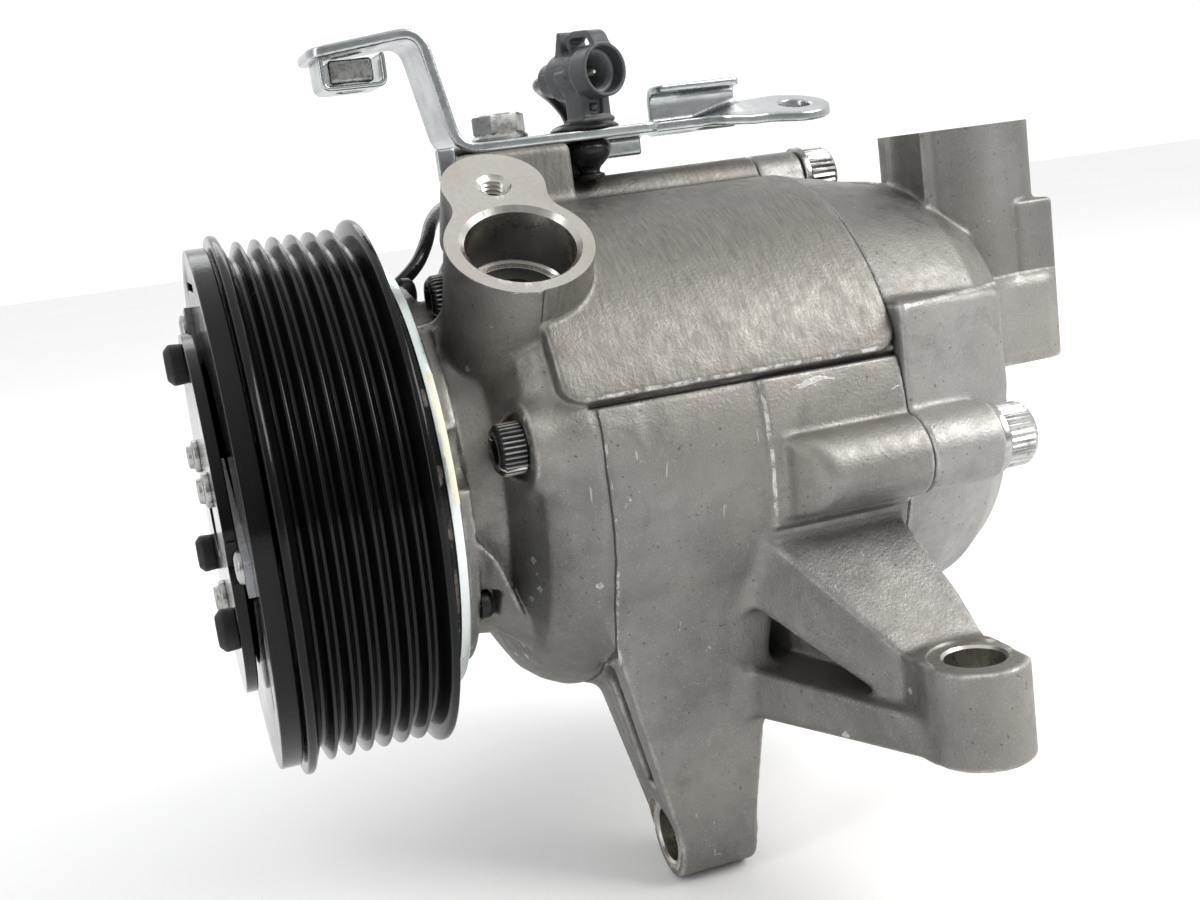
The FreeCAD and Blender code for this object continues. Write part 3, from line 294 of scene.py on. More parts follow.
def surface_net(values, low, step):
    """Quads through the cells where the values change sign."""
    solid = values < 0
    strides = np.array([values.shape[1] * values.shape[2], values.shape[2], 1])
    rings, crossings = [], []
    for axis in range(3):
        u, v = [i for i in range(3) if i != axis]
        first = [slice(1, -1)] * 3
        first[axis] = slice(0, -1)
        second = list(first)
        second[axis] = slice(1, None)
        base = np.argwhere(solid[tuple(first)] != solid[tuple(second)]) + 1
        base[:, axis] -= 1
        ahead = base.copy()
        ahead[:, axis] += 1
        va = values[base[:, 0], base[:, 1], base[:, 2]]
        vb = values[ahead[:, 0], ahead[:, 1], ahead[:, 2]]
        place = base.astype(np.float32)
        place[:, axis] += va / (va - vb)
        ring = np.stack([base @ strides + du * strides[u] + dv * strides[v]
                         for du, dv in ((-1, -1), (0, -1), (0, 0), (-1, 0))], 1)
        outward = (va < 0) != (axis == 1)
        ring[~outward] = ring[~outward][:, ::-1]
        rings.append(ring)
        crossings.append(place)
    rings, crossings = np.concatenate(rings), np.concatenate(crossings)
    used, index = np.unique(rings, return_inverse=True)
    index = index.reshape(-1)
    hits = np.bincount(index, minlength=len(used))
    places = np.stack([np.bincount(index, np.repeat(crossings[:, k], 4), len(used)) for k in range(3)], 1)
    return places / hits[:, None] * step + np.asarray(low, np.float32), index.reshape(-1, 4)


def mesh_object(name, places, faces):
    mesh = bpy.data.meshes.new(name)
    places = np.asarray(places, np.float32) * MM
    mesh.vertices.add(len(places))
    mesh.vertices.foreach_set("co", places.ravel())
    sizes = np.full(len(faces), faces.shape[1], np.int32)
    mesh.loops.add(int(sizes.sum()))
    mesh.loops.foreach_set("vertex_index", faces.ravel().astype(np.int32))
    mesh.polygons.add(len(faces))
    mesh.polygons.foreach_set("loop_start", (np.cumsum(sizes) - sizes).astype(np.int32))
    mesh.update(calc_edges=True)
    return linked(bpy.data.objects.new(name, mesh))


def linked(obj):
    bpy.context.scene.collection.objects.link(obj)
    return obj


def cast_object(name, field, low, high, step):
    values = blurred(sampled(field, low, high, step))
    places, faces = surface_net(values, low, step)
    return mesh_object(name, places, faces)


# ---- turned pieces ----

def filleted(points, size, steps=3, closed=True):
    """A 2-D outline with its corners rounded; a third number at a point is that corner's own size."""
    rounded = []
    for index, point in enumerate(points):
        here = np.array(point[:2], float)
        if not closed and index in (0, len(points) - 1):
            rounded.append(here)
            continue
        back = np.array(points[index - 1][:2], float) - here
        ahead = np.array(points[(index + 1) % len(points)][:2], float) - here
        lengths = np.linalg.norm(back), np.linalg.norm(ahead)
        reach = min(point[2] if len(point) > 2 else size, 0.45 * lengths[0], 0.45 * lengths[1])
        start, end = here + back / lengths[0] * reach, here + ahead / lengths[1] * reach
        for step in range(steps + 1):
            t = step / steps
            rounded.append((1 - t) ** 2 * start + 2 * t * (1 - t) * here + t * t * end)
    return rounded


def spun(name, rings, origin=(0, 0, 0), axis=ALONG_X, count=128, closed=False):
    """A surface turned about an axis from (along, radius) pairs; a radius may depend on the angle."""
    axis = np.asarray(axis, float) / np.linalg.norm(axis)
    side = np.cross(axis, (0, 0, 1) if abs(axis[2]) < 0.9 else (0, 1, 0))
    side = side / np.linalg.norm(side)
    other = np.cross(axis, side)
    angle = np.arange(count) * 2 * math.pi / count
    around = np.cos(angle)[:, None] * side + np.sin(angle)[:, None] * other
    places = []
    for along, radius in rings:
        reach = radius(angle) if callable(radius) else np.full(count, float(radius))
        places.append(np.asarray(origin) + along * axis + reach[:, None] * around)
    step = np.arange(count)
    after = (step + 1) % count
    faces = []
    for ring in range(len(rings) if closed else len(rings) - 1):
        low, high = ring * count, (ring + 1) % len(rings) * count
        faces.append(np.stack([low + step, low + after, high + after, high + step], 1))
    obj = mesh_object(name, np.concatenate(places), np.concatenate(faces))
    return tidied(obj)


def tidied(obj):
    """Welds points that lie on each other and turns every face outwards."""
    bm = bmesh.new()
    bm.from_mesh(obj.data)
    bmesh.ops.remove_doubles(bm, verts=bm.verts, dist=1e-7)
    bmesh.ops.dissolve_degenerate(bm, edges=bm.edges, dist=1e-8)
    bmesh.ops.recalc_face_normals(bm, faces=bm.faces)
    bm.to_mesh(obj.data)
    bm.free()
    return obj


def merged(name, objects):
    """One object from several that share their materials."""
    bm = bmesh.new()
    for obj in objects:
        bm.from_mesh(obj.data)
    mesh = bpy.data.meshes.new(name)
    bm.to_mesh(mesh)
    bm.free()
    for material in objects[0].data.materials:
        mesh.materials.append(material)
    for obj in objects:
        bpy.data.objects.remove(obj)
    return linked(bpy.data.objects.new(name, mesh))


def fluted(radius, depth, teeth):
    """A knurled edge: shallow grooves round a head."""
    return lambda angle: radius - depth * (0.5 - 0.5 * np.cos(angle * teeth))


def hexagonal(across):
    """The radius of a hexagon across its flats."""
    slice_angle = 2 * math.pi / 6
    return lambda angle: across / 2 / np.cos(angle % slice_angle - slice_angle / 2)


def socket_screw(name, seat, axis, radius, length, shank, shank_length):
    """A knurled cap screw with a hexagon socket, its head standing on a seat."""
    knurl, teeth = fluted(radius, 0.42, 30), 30
    across = radius * 0.98
    return spun(name, [
        (-shank_length, 0), (-shank_length, shank), (0, shank), (0, radius - 0.55), (0.35, radius - 0.4),
        (0.5, knurl), (length - 1.15, knurl), (length - 0.75, fluted(radius - 0.25, 0.25, teeth)),
        (length - 0.2, radius - 0.75), (length, radius - 1.05), (length, across / 2 + 0.62),
        (length - 0.35, hexagonal(across)), (length * 0.42, hexagonal(across)), (length * 0.36, 0)],
        seat, axis, count=teeth * 6)


def applied(obj):
    """A copy of the object's mesh with its modifiers worked in."""
    bpy.context.view_layer.update()
    return bpy.data.meshes.new_from_object(obj.evaluated_get(bpy.context.evaluated_depsgraph_get()))


def machined(obj, cutters):
    """Cuts crisp bores and faces out of a casting; the cut faces keep the cutters' material."""
    whole = len(obj.data.polygons)
    for solver in ("MANIFOLD", "EXACT"):
        obj.modifiers.clear()
        for cutter in cutters:
            cut = obj.modifiers.new(cutter.name, "BOOLEAN")
            cut.operation = "DIFFERENCE"
            cut.object = cutter
            cut.solver = solver
            cut.material_mode = "TRANSFER"
        mesh = applied(obj)
        if len(mesh.polygons) > 0.6 * whole:
            break
    obj.modifiers.clear()
    mesh.name = obj.name
    obj.data = mesh
    print("cut", obj.name, solver, whole, "->", len(mesh.polygons), "faces")
    for cutter in cutters:
        bpy.data.objects.remove(cutter)
    return obj


def piece(obj, body, slot, *nodes, look=None, sharp=32):
    """Finishes a piece: its material, its shading, the body it rides and the CAD nodes it shows."""
    if not obj.data.materials:
        obj.data.materials.append(look or LOOKS[slot])
    if obj.type == "MESH":
        obj.data.polygons.foreach_set("use_smooth", np.ones(len(obj.data.polygons), bool))
        obj.data.set_sharp_from_angle(angle=math.radians(sharp))
    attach(obj, body)
    if nodes:
        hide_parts(*nodes)
    return obj


# ---- materials ----

class Look:
    """A material under construction; lengths in its textures are metres in the object's own frame."""

    def __init__(self, name, metallic=0.0, roughness=0.5, color=(0.5, 0.5, 0.5), **sockets):
        self.material = bpy.data.materials.new(name)
        self.material.use_nodes = True
        self.tree = self.material.node_tree
        self.shader = self.tree.nodes["Principled BSDF"]
        self.shader.inputs["Metallic"].default_value = metallic
        self.shader.inputs["Roughness"].default_value = roughness
        self.shader.inputs["Base Color"].default_value = (*color, 1)
        for socket, value in sockets.items():
            self.shader.inputs[socket.replace("_", " ")].default_value = value
        self.place = self.add("ShaderNodeTexCoord").outputs["Object"]

    def add(self, kind, **settings):
        node = self.tree.nodes.new(kind)
        for key, value in settings.items():
            setattr(node, key, value)
        return node

    def feed(self, socket, value):
        if isinstance(value, bpy.types.NodeSocket):
            self.tree.links.new(value, socket)
        elif isinstance(value, tuple) and len(value) == 3 and socket.type == "RGBA":
            socket.default_value = (*value, 1)
        else:
            socket.default_value = value

    def math(self, operation, a, b=0.0):
        node = self.add("ShaderNodeMath", operation=operation)
        self.feed(node.inputs[0], a)
        self.feed(node.inputs[1], b)
        return node.outputs[0]

    def times(self, first, *others):
        for other in others:
            first = self.math("MULTIPLY", first, other)
        return first

    def most(self, first, *others):
        for other in others:
            first = self.math("MAXIMUM", first, other)
        return first

    def away(self, value, middle):
        return self.math("ABSOLUTE", self.math("SUBTRACT", value, middle))

    def stretched(self, scale):
        node = self.add("ShaderNodeMapping")
        self.feed(node.inputs["Vector"], self.place)
        node.inputs["Scale"].default_value = scale
        return node.outputs[0]

    def noise(self, scale, detail=3.0, rough=0.55, stretch=None, distort=0.0):
        node = self.add("ShaderNodeTexNoise")
        self.feed(node.inputs["Vector"], self.stretched(stretch) if stretch else self.place)
        for key, value in (("Scale", scale), ("Detail", detail), ("Roughness", rough),
                           ("Distortion", distort)):
            node.inputs[key].default_value = value
        return node.outputs["Fac"]

    def ramp(self, value, low, high, a=0.0, b=1.0):
        """The value carried from low..high to a..b, and held beyond them."""
        node = self.add("ShaderNodeMapRange", clamp=True)
        self.feed(node.inputs["Value"], value)
        for key, number in (("From Min", low), ("From Max", high), ("To Min", a), ("To Max", b)):
            node.inputs[key].default_value = number
        return node.outputs["Result"]

    def mix(self, share, a, b):
        node = self.add("ShaderNodeMix", data_type="RGBA")
        self.feed(node.inputs["Factor"], share)
        self.feed(node.inputs[6], a)
        self.feed(node.inputs[7], b)
        return node.outputs[2]

    def edges(self, low=0.52, high=0.6):
        """Bright where the surface is a worn outer edge."""
        return self.ramp(self.add("ShaderNodeNewGeometry").outputs["Pointiness"], low, high)

    def axis(self, name):
        node = self.add("ShaderNodeSeparateXYZ")
        self.feed(node.inputs[0], self.place)
        return node.outputs[name]

    def finish(self, color, rough, *bumps):
        """The material with its colour, its roughness and bumps from (height, depth in metres) pairs."""
        self.feed(self.shader.inputs["Base Color"], color)
        self.feed(self.shader.inputs["Roughness"], rough)
        normal = None
        for height, depth in bumps:
            node = self.add("ShaderNodeBump")
            node.inputs["Strength"].default_value = 1.0
            node.inputs["Distance"].default_value = depth
            self.feed(node.inputs["Height"], height)
            if normal is not None:
                self.feed(node.inputs["Normal"], normal)
            normal = node.outputs[0]
        self.feed(self.shader.inputs["Normal"], normal)
        return self.material


BARE_METAL = (0.74, 0.73, 0.70)


def cast_look(name, light, dark, seams=False, ledge=False):
    """Blasted die casting: fine grain, patches, short scratches, white scuffs, rubbed edges and painted shade
    in hollows; seams adds the housing's painted highlight and shade lines, ledge adds painted shade above the
    head's ledge.
    """
    look = Look(name, metallic=0.85, roughness=0.45)
    color = look.mix(look.ramp(look.noise(32, 4, 0.6), 0.36, 0.66), dark, light)
    warm = look.ramp(look.noise(17, 3, 0.6), 0.45, 0.62, 0, 0.5)
    color = look.mix(warm, color, tuple(c * w for c, w in zip(light, (1.05, 0.99, 0.92))))
    stains = look.ramp(look.noise(26, 5, 0.72, distort=0.8), 0.58, 0.68, 0, 0.45)
    color = look.mix(stains, color, (0.10, 0.096, 0.09))
    grain = look.noise(2600, 2, 0.6)
    color = look.mix(look.ramp(grain, 0.56, 0.74, 0, 0.35), color, tuple(c * 1.7 for c in light))
    pits = look.ramp(look.noise(1000, 1, 0.5), 0.71, 0.76, 0, 0.6)
    color = look.mix(pits, color, (0.07, 0.06, 0.055))
    marks = look.ramp(look.noise(64, 4, 0.72, stretch=(1, 9, 1.7), distort=0.5), 0.69, 0.715)
    lines = look.ramp(look.noise(85, 3, 0.65, stretch=(6, 1, 1.2), distort=0.4), 0.70, 0.72)
    chips = look.ramp(look.noise(80, 7, 0.82, distort=0.8), 0.665, 0.69)
    rubbed = look.ramp(look.noise(240, 4, 0.75), 0.42, 0.6, 0.25, 1)
    worn = look.times(look.edges(0.515, 0.565), rubbed)
    bright = look.most(look.times(worn, 0.85), look.times(look.most(marks, lines), 0.3),
                       look.times(chips, 0.75))
    color = look.mix(bright, color, BARE_METAL)
    # Painted shade in hollows and creases, where the mesh's pointiness is low.
    hollow = look.ramp(look.add("ShaderNodeNewGeometry").outputs["Pointiness"], 0.41, 0.488, 0.7, 0)
    color = look.mix(hollow, color, (0.06, 0.055, 0.05))
    if seams:
        plate, brushed, line, shade = seam_layers(look)
        tone = look.mix(brushed, (0.115, 0.110, 0.100), (0.235, 0.222, 0.198))
        color = look.mix(look.times(plate, 0.7), color, tone)
        # Bright lines: a painted highlight along the plate's lip, a line at the step's edge and flash at the
        # parting line.
        color = look.mix(look.times(line, 0.85), color, BARE_METAL)
        # Painted shade lines along the parting line, under the plate's lip and down the port column.
        color = look.mix(look.times(shade, 0.85), color, (0.03, 0.028, 0.026))
    if ledge:
        # Painted shade on the head's front above the ledge, and a bright line along the ledge's edge.
        height = look.math("ADD", look.axis("Z"), look.times(look.noise(150, 3, 0.6), 0.0006))
        front = look.ramp(look.axis("Y"), -0.012, -0.016)
        above = look.times(look.ramp(height, 0.0244, 0.0252), front)
        color = look.mix(look.times(above, 0.42), color, (0.06, 0.057, 0.05))
        bead = look.times(look.ramp(look.away(height, 0.0249), 0.0002, 0.0004, 1, 0), front, rubbed)
        color = look.mix(look.times(bead, 0.6), color, BARE_METAL)
    return look.finish(color, look.ramp(look.noise(300, 3, 0.6), 0.3, 0.7, 0.40, 0.60),
                       (look.noise(60, 3, 0.6), 0.0004), (look.noise(1500, 3, 0.65), 0.00010),
                       (look.most(marks, chips), 0.00006))


def seam_layers(look):
    """The plate's brushed face, bright lines (a painted highlight along the plate's lip, the step's edge,
    flash at the parting line) and painted shade lines (along the parting line, under the lip, down the port
    column), on the main housing only.
    """
    x, y, z = look.axis("X"), look.axis("Y"), look.axis("Z")
    wobble = look.times(look.math("SUBTRACT", look.noise(160, 3, 0.6), 0.5), 0.0007)
    across = look.math("ADD", x, wobble)
    turn = look.math("ARCTAN2", look.math("ADD", z, wobble), look.times(y, -1.0))
    radius = look.math("SQRT", look.math("ADD", look.times(y, y), look.times(z, z)))

    def line(value, middle, half):
        return look.ramp(look.away(value, middle), half * 0.6, half, 1, 0)

    def within(value, low, high, soft=0.0006):
        return look.times(look.ramp(value, low, low + soft), look.ramp(value, high, high - soft))

    front = look.ramp(y, -0.012, -0.016)
    broken = look.ramp(look.noise(230, 5, 0.8), 0.46, 0.56, 0.05, 0.8)
    plate = look.times(look.ramp(radius, 0.0508, 0.0512), within(x, 0.0398, 0.109),
                       look.ramp(turn, 0.33, 0.335))
    # A painted highlight along the plate's lower edge.
    lip = look.times(line(turn, math.radians(19.5), 0.009), look.ramp(radius, 0.0504, 0.0508),
                     within(x, 0.043, 0.109), front)
    step = look.times(line(across, 0.0783, 0.0004), within(turn, -0.28, 0.31, 0.01),
                      look.ramp(radius, 0.049, 0.0495), front)
    flash = look.times(line(across, 0.0461, 0.00035), within(turn, -1.1, 0.3, 0.02), broken, broken, front)
    # Painted shade lines follow: along the parting line, under the plate's lip and down the port column.
    dark = look.times(line(across, PARTING * MM, 0.00026), within(turn, -1.3, 0.31, 0.02), front)
    under = look.times(line(turn, math.radians(18.2), 0.010), within(x, 0.044, 0.109), front)
    column_shade_line = look.times(line(x, SUCTION_X * MM, 0.00018), look.ramp(z, 0.028, 0.03),
                        look.ramp(radius, 0.0525, 0.0528), front)
    brushed = look.ramp(look.noise(190, 4, 0.7, stretch=(9, 1, 1)), 0.3, 0.7)
    return plate, brushed, look.times(look.most(lip, step, flash), broken), look.most(dark, under, column_shade_line)


def milled_look(name, color, roughness=0.25, tint=(0.42, 0.38, 0.32)):
    """Machined aluminium: faint tool marks and a warm tint."""
    look = Look(name, metallic=1.0, roughness=roughness)
    marks = look.noise(900, 2, 0.6, stretch=(1, 1, 0.1))
    shade = look.mix(look.ramp(marks, 0.3, 0.7, 0, 0.4), color, tint)
    shade = look.mix(look.ramp(look.noise(70, 3, 0.6), 0.45, 0.75, 0, 0.6), shade, tint)
    return look.finish(shade, look.ramp(look.noise(160, 3, 0.7), 0.3, 0.7, roughness - 0.05, roughness + 0.1),
                       (marks, 0.000012))


def steel_look(name, color, roughness, dark, worn=0.0):
    """Plated or ground steel with small spots, scuffs and rubbed edges."""
    look = Look(name, metallic=1.0, roughness=roughness)
    spots = look.ramp(look.noise(650, 4, 0.7), 0.52, 0.68)
    shade = look.mix(spots, color, dark)
    shade = look.mix(look.times(look.edges(0.54, 0.64), worn), shade, (0.78, 0.77, 0.75))
    return look.finish(shade,
                       look.ramp(look.noise(900, 3, 0.7), 0.3, 0.7, roughness - 0.06, roughness + 0.14),
                       (look.noise(700, 3, 0.6), 0.00003))


def paint_look(name, color, roughness, coat=0.0, worn=0.3, dust=0.15, shine=0.5):
    """Black coating on metal with dust, fine orange peel and a few bright chips on the edges."""
    look = Look(name, metallic=0.0, roughness=roughness, Coat_Weight=coat, Coat_Roughness=0.06,
                Specular_IOR_Level=shine)
    specks = look.ramp(look.noise(1700, 3, 0.7), 0.66, 0.76)
    shade = look.mix(look.times(specks, dust), color, (0.35, 0.34, 0.32))
    film = look.ramp(look.noise(45, 4, 0.6), 0.5, 0.75, 0, dust)
    shade = look.mix(film, shade, (0.09, 0.085, 0.08))
    chips = look.times(look.edges(0.56, 0.66), look.ramp(look.noise(160, 3, 0.7), 0.5, 0.6))
    shade = look.mix(look.times(chips, worn), shade, (0.42, 0.38, 0.33))
    return look.finish(shade,
                       look.ramp(look.noise(240, 4, 0.7), 0.3, 0.75, roughness * 0.75, roughness * 1.5),
                       (look.noise(600, 3, 0.6), 0.00004))


def plastic_look(name, color, roughness, grain=0.00003, shine=0.5):
    """Moulded plastic or rubber: cloudy, finely grained and lightly scuffed."""
    look = Look(name, metallic=0.0, roughness=roughness, Specular_IOR_Level=shine)
    clouds = look.ramp(look.noise(120, 4, 0.6), 0.35, 0.7)
    shade = look.mix(clouds, color, tuple(c * 1.5 + 0.004 for c in color))
    scuffs = look.ramp(look.noise(260, 3, 0.7, stretch=(1, 0.3, 2)), 0.69, 0.74, 0, 0.4)
    shade = look.mix(scuffs, shade, (0.32, 0.32, 0.32))
    return look.finish(shade, look.ramp(look.noise(500, 3, 0.6), 0.3, 0.7, roughness * 0.8, roughness * 1.25),
                       (look.noise(1100, 2, 0.6), grain))


def zinc_look(name, color, roughness=0.2):
    """Bright zinc plate: pale, cloudy, with rolling lines and a trace of blue."""
    look = Look(name, metallic=1.0, roughness=roughness)
    clouds = look.noise(75, 4, 0.65, distort=0.4)
    shade = look.mix(look.ramp(clouds, 0.35, 0.7), color, tuple(0.8 * c for c in color))
    rolled = look.noise(420, 3, 0.7, stretch=(0.15, 1, 1))
    shade = look.mix(look.ramp(rolled, 0.6, 0.75, 0, 0.4), shade, (0.5, 0.52, 0.52))
    return look.finish(shade, look.ramp(clouds, 0.3, 0.7, roughness - 0.05, roughness + 0.15),
                       (rolled, 0.00002), (look.noise(90, 3, 0.6), 0.0002))


def coil_look():
    """Zinc plate with a ragged yellowish strip on the side by the housing's screws."""
    look = Look("coil_zinc", metallic=1.0, roughness=0.3)
    cloud = look.noise(140, 4, 0.65)
    tone = look.mix(look.ramp(cloud, 0.3, 0.7), (0.62, 0.68, 0.67), (0.80, 0.84, 0.82))
    height = look.math("ADD", look.axis("Z"), look.times(look.noise(700, 2), 0.004))
    ragged = look.math("ADD", look.axis("X"), look.times(look.noise(420, 3), 0.0012))
    strip_share = look.times(look.ramp(height, 0.0035, 0.0045), look.ramp(height, 0.028, 0.027),
                             look.ramp(ragged, 0.0183, 0.0186), look.ramp(look.axis("Y"), -0.02, -0.021))
    look.feed(look.shader.inputs["Metallic"], look.math("SUBTRACT", 1.0, strip_share))
    return look.finish(look.mix(strip_share, tone, (0.78, 0.76, 0.62)),
                       look.ramp(cloud, 0.3, 0.7, 0.22, 0.42),
                       (look.noise(500, 3), 0.00005))


CAST_LIGHT, CAST_DARK = (0.245, 0.240, 0.228), (0.155, 0.152, 0.145)
LOOKS = {
    "cast_aluminium": cast_look("cast_aluminium", CAST_LIGHT, CAST_DARK),
    "machined_aluminium": milled_look("machined_aluminium", (0.52, 0.505, 0.475), 0.26),
    "pulley_black": paint_look("pulley_black", (0.003, 0.003, 0.0032), 0.13, coat=0.05, worn=0.4, dust=0.03,
                               shine=0.18),
    "zinc_plate": zinc_look("zinc_plate", (0.46, 0.485, 0.49)),
    "bright_steel": steel_look("bright_steel", (0.38, 0.38, 0.37), 0.28, (0.19, 0.186, 0.175), worn=0.4),
    "black_steel": steel_look("black_steel", (0.035, 0.035, 0.036), 0.36, (0.02, 0.02, 0.02), worn=0.9),
    "spring_steel": steel_look("spring_steel", (0.22, 0.23, 0.25), 0.3, (0.12, 0.12, 0.13), worn=0.3),
    "ground_steel": steel_look("ground_steel", (0.6, 0.6, 0.6), 0.18, (0.4, 0.4, 0.4), worn=0.3),
    "vane_composite": plastic_look("vane_composite", (0.10, 0.085, 0.07), 0.5),
    "black_rubber": plastic_look("black_rubber", (0.012, 0.012, 0.0125), 0.55, 0.00006, 0.3),
    "copper_winding": steel_look("copper_winding", (0.55, 0.24, 0.10), 0.35, (0.3, 0.12, 0.05)),
    "grey_plastic": plastic_look("grey_plastic", (0.048, 0.051, 0.054), 0.40, 0.00005, 0.35),
    "black_plastic": plastic_look("black_plastic", (0.006, 0.006, 0.0065), 0.28, shine=0.3),
    "black_lead": plastic_look("black_lead", (0.005, 0.005, 0.0055), 0.20, 0.00008, 0.4),
    "brass_pin": steel_look("brass_pin", (0.80, 0.76, 0.66), 0.25, (0.55, 0.5, 0.42)),
}
head_cast = cast_look("head_cast", (0.31, 0.307, 0.298), (0.20, 0.198, 0.19), ledge=True)
housing_cast = cast_look("housing_cast", CAST_LIGHT, CAST_DARK, seams=True)
satin_black = paint_look("satin_black", (0.007, 0.007, 0.0075), 0.34, worn=0.8, dust=0.12, shine=0.3)

for part in frame["record"]["subparts"]:
    node = frame["nodes"][part["node"]]
    node.data.materials.clear()
    node.data.materials.append(LOOKS[part["material_slot"]])


# ---- main housing and rear head ----

FINE = 0.5


def housing_arms(p):
    """The foot's two arms and the lug's arm, with their bosses."""
    upper = hull(p, loft_corners("Y", -38, (71, 104, -27, -8), -71, (90.5, 109.5, -47.6, FOOT_TOP)), 0.7)
    upper = joined(upper, box(p, (90.5, -80, -47.6), (109.5, -70.5, FOOT_TOP), 0.5), 0.8)
    web = hull(p, loft_corners("Y", -22, (76, 80, -52, -28), -72, (98, 102, -50, -40)))
    lower = hull(p, loft_corners("Y", -30, (66, 84, -53, -42), -80, (90.5, 105.8, -53.8, -46)), 1.5)
    foot = rod(p, (*FOOT, FOOT_BOTTOM), (*FOOT, FOOT_TOP), 9.8)
    foot = joined(foot, joined(joined(upper, lower, 2.0), web, 1.0), 1.2)
    arm = hull(p, loft_corners("Z", -26, (44, 80, -42, -8), LUG_Z, (54.9, 71.3, -38.7, -21.3)), 1.0)
    channel = hull(p, loft_corners("Z", -30, (40, 52, -34, -27), -66, (52.0, 58.0, -33.5, -28)), 1.0)
    arm = cut_away(arm, channel, 0.8)
    lug = rod(p, (LUG_FRONT, LUG_Y, LUG_Z), (LUG_BACK, LUG_Y, LUG_Z), 8.8)
    return foot, joined(arm, lug, 1.0)


def housing_field(p):
    shell = turned(p, [
        (-10, -1), (-10, 17.5), (12.3, 17.5), (12.3, 19.5), (16.9, 19.5), (16.9, 21.4), (19.5, 21.4),
        (19.5, 40), (22.2, 40), (22.6, 34.5), (29.5, 35.5), (32.2, 40.6), (34.6, 44.6), (38, 47.4),
        (42, 49.3), (44.4, 49.7), (45.5, 49.1), (46.1, 50), (JOINT, 50), (JOINT, -1)])
    step = np.maximum(turned(p, [(78, 40), (78, 50.8), (JOINT, 50.8), (JOINT, 40)]), sector(p, 160, 196))
    shell = joined(shell, step, 0.25)
    for angle in SCREW_ANGLES:
        shell = joined(shell, shaftwise(p, SCREW_CIRCLE, angle, SCREW_FACE, 52, 8.2), 3.0)
    web = hull(p, [polar(x, r, a) for x, r, a in (
        (20.2, 30, 105), (20.2, 37.5, 107), (20.2, 37.5, 126), (20.2, 30, 128),
        (32, 30, 100), (32, 51, 111), (32, 51, 128), (32, 30, 132))])
    shell = joined(shell, web, 1.5)
    rib = hull(p, [(20.2, -39.6, -5), (20.2, -28.5, -23.5), (20.2, -24, -19), (20.2, -34, -3),
                   (25.5, -40.3, -11), (33.4, -28.5, -31), (33.4, -24, -35), (33.4, -19.5, -31),
                   (33.4, -22, -28)])
    shell = joined(shell, rib, 0.4)
    tower = np.minimum(np.maximum(rod(p, port_point(20), port_point(60), SUCTION_RAD), p[:, 0] - SUCTION_X),
                       rod(p, port_point(20), port_point(60), SUCTION_RAD - 0.45))
    lug = rod(p, port_point(44, SUCTION_LUG), port_point(60, SUCTION_LUG), 10.2)
    shell = joined(shell, joined(tower, lug, 5.0), 1.4)
    shell = joined(shell, sector_plate(p, 39.6, JOINT, 61, 161, 44, 51.9, 4.5), 0.2)
    shell = cut_away(shell, sector_plate(p, 44, JOINT + 1, 161.1, 162.2, 49.3, 53, 0.3))
    block = joined(box(p, (38, -2, 40), (62, 18, BRACKET_BOTTOM), 1.5),
                   box(p, (60, 11, 40), (70, 18, BRACKET_BOTTOM - 1.5), 1.5), 2.0)
    shell = joined(shell, block, 3.0)
    for angle, radius, start, _ in REAR_BOLTS:
        slope = (p[:, 0] - start) * -0.80 + (np.hypot(p[:, 1], p[:, 2]) - BOLT_CIRCLE) * 0.6
        boss = shaftwise(p, BOLT_CIRCLE, angle, start, JOINT, radius)
        shell = joined(shell, both(boss, slope, 2.5), 1.2)
    foot, lug = housing_arms(p)
    shell = joined(joined(shell, foot, 2.0), lug, 3.0)
    hollow = turned(p, [(-12, -1), (-12, 15.01), (13, 15.01), (13, 10.5), (27, 10.5), (27, 28), (36, 37),
                        (50.5, 37), (50.5, 45.3), (JOINT + 2, 45.3), (JOINT + 2, -1)])
    shell = cut_away(shell, hollow)
    shell = cut_away(shell, rod(p, port_point(20), port_point(46), 8.5))
    for angle in SCREW_ANGLES:
        shell = cut_away(shell, shaftwise(p, SCREW_CIRCLE, angle, 14, SCREW_FACE, 6.2))
    shell = cut_away(shell, shaftwise(p, SCREW_CIRCLE, SHORT_SCREW_ANGLE, 14, SHORT_SCREW_FACE, 6.0))
    for angle in COIL_SCREW_ANGLES:
        shell = cut_away(shell, shaftwise(p, COIL_SCREW_CIRCLE, angle, 22.2, 26.2, 3.6))
    start = np.array(LEAD_ROUTE[0])
    shell = cut_away(shell, rod(p, start - (3.4, 0, 0), start + (3, 0, 0), 3.4))
    return np.maximum(shell, p[:, 0] - JOINT)


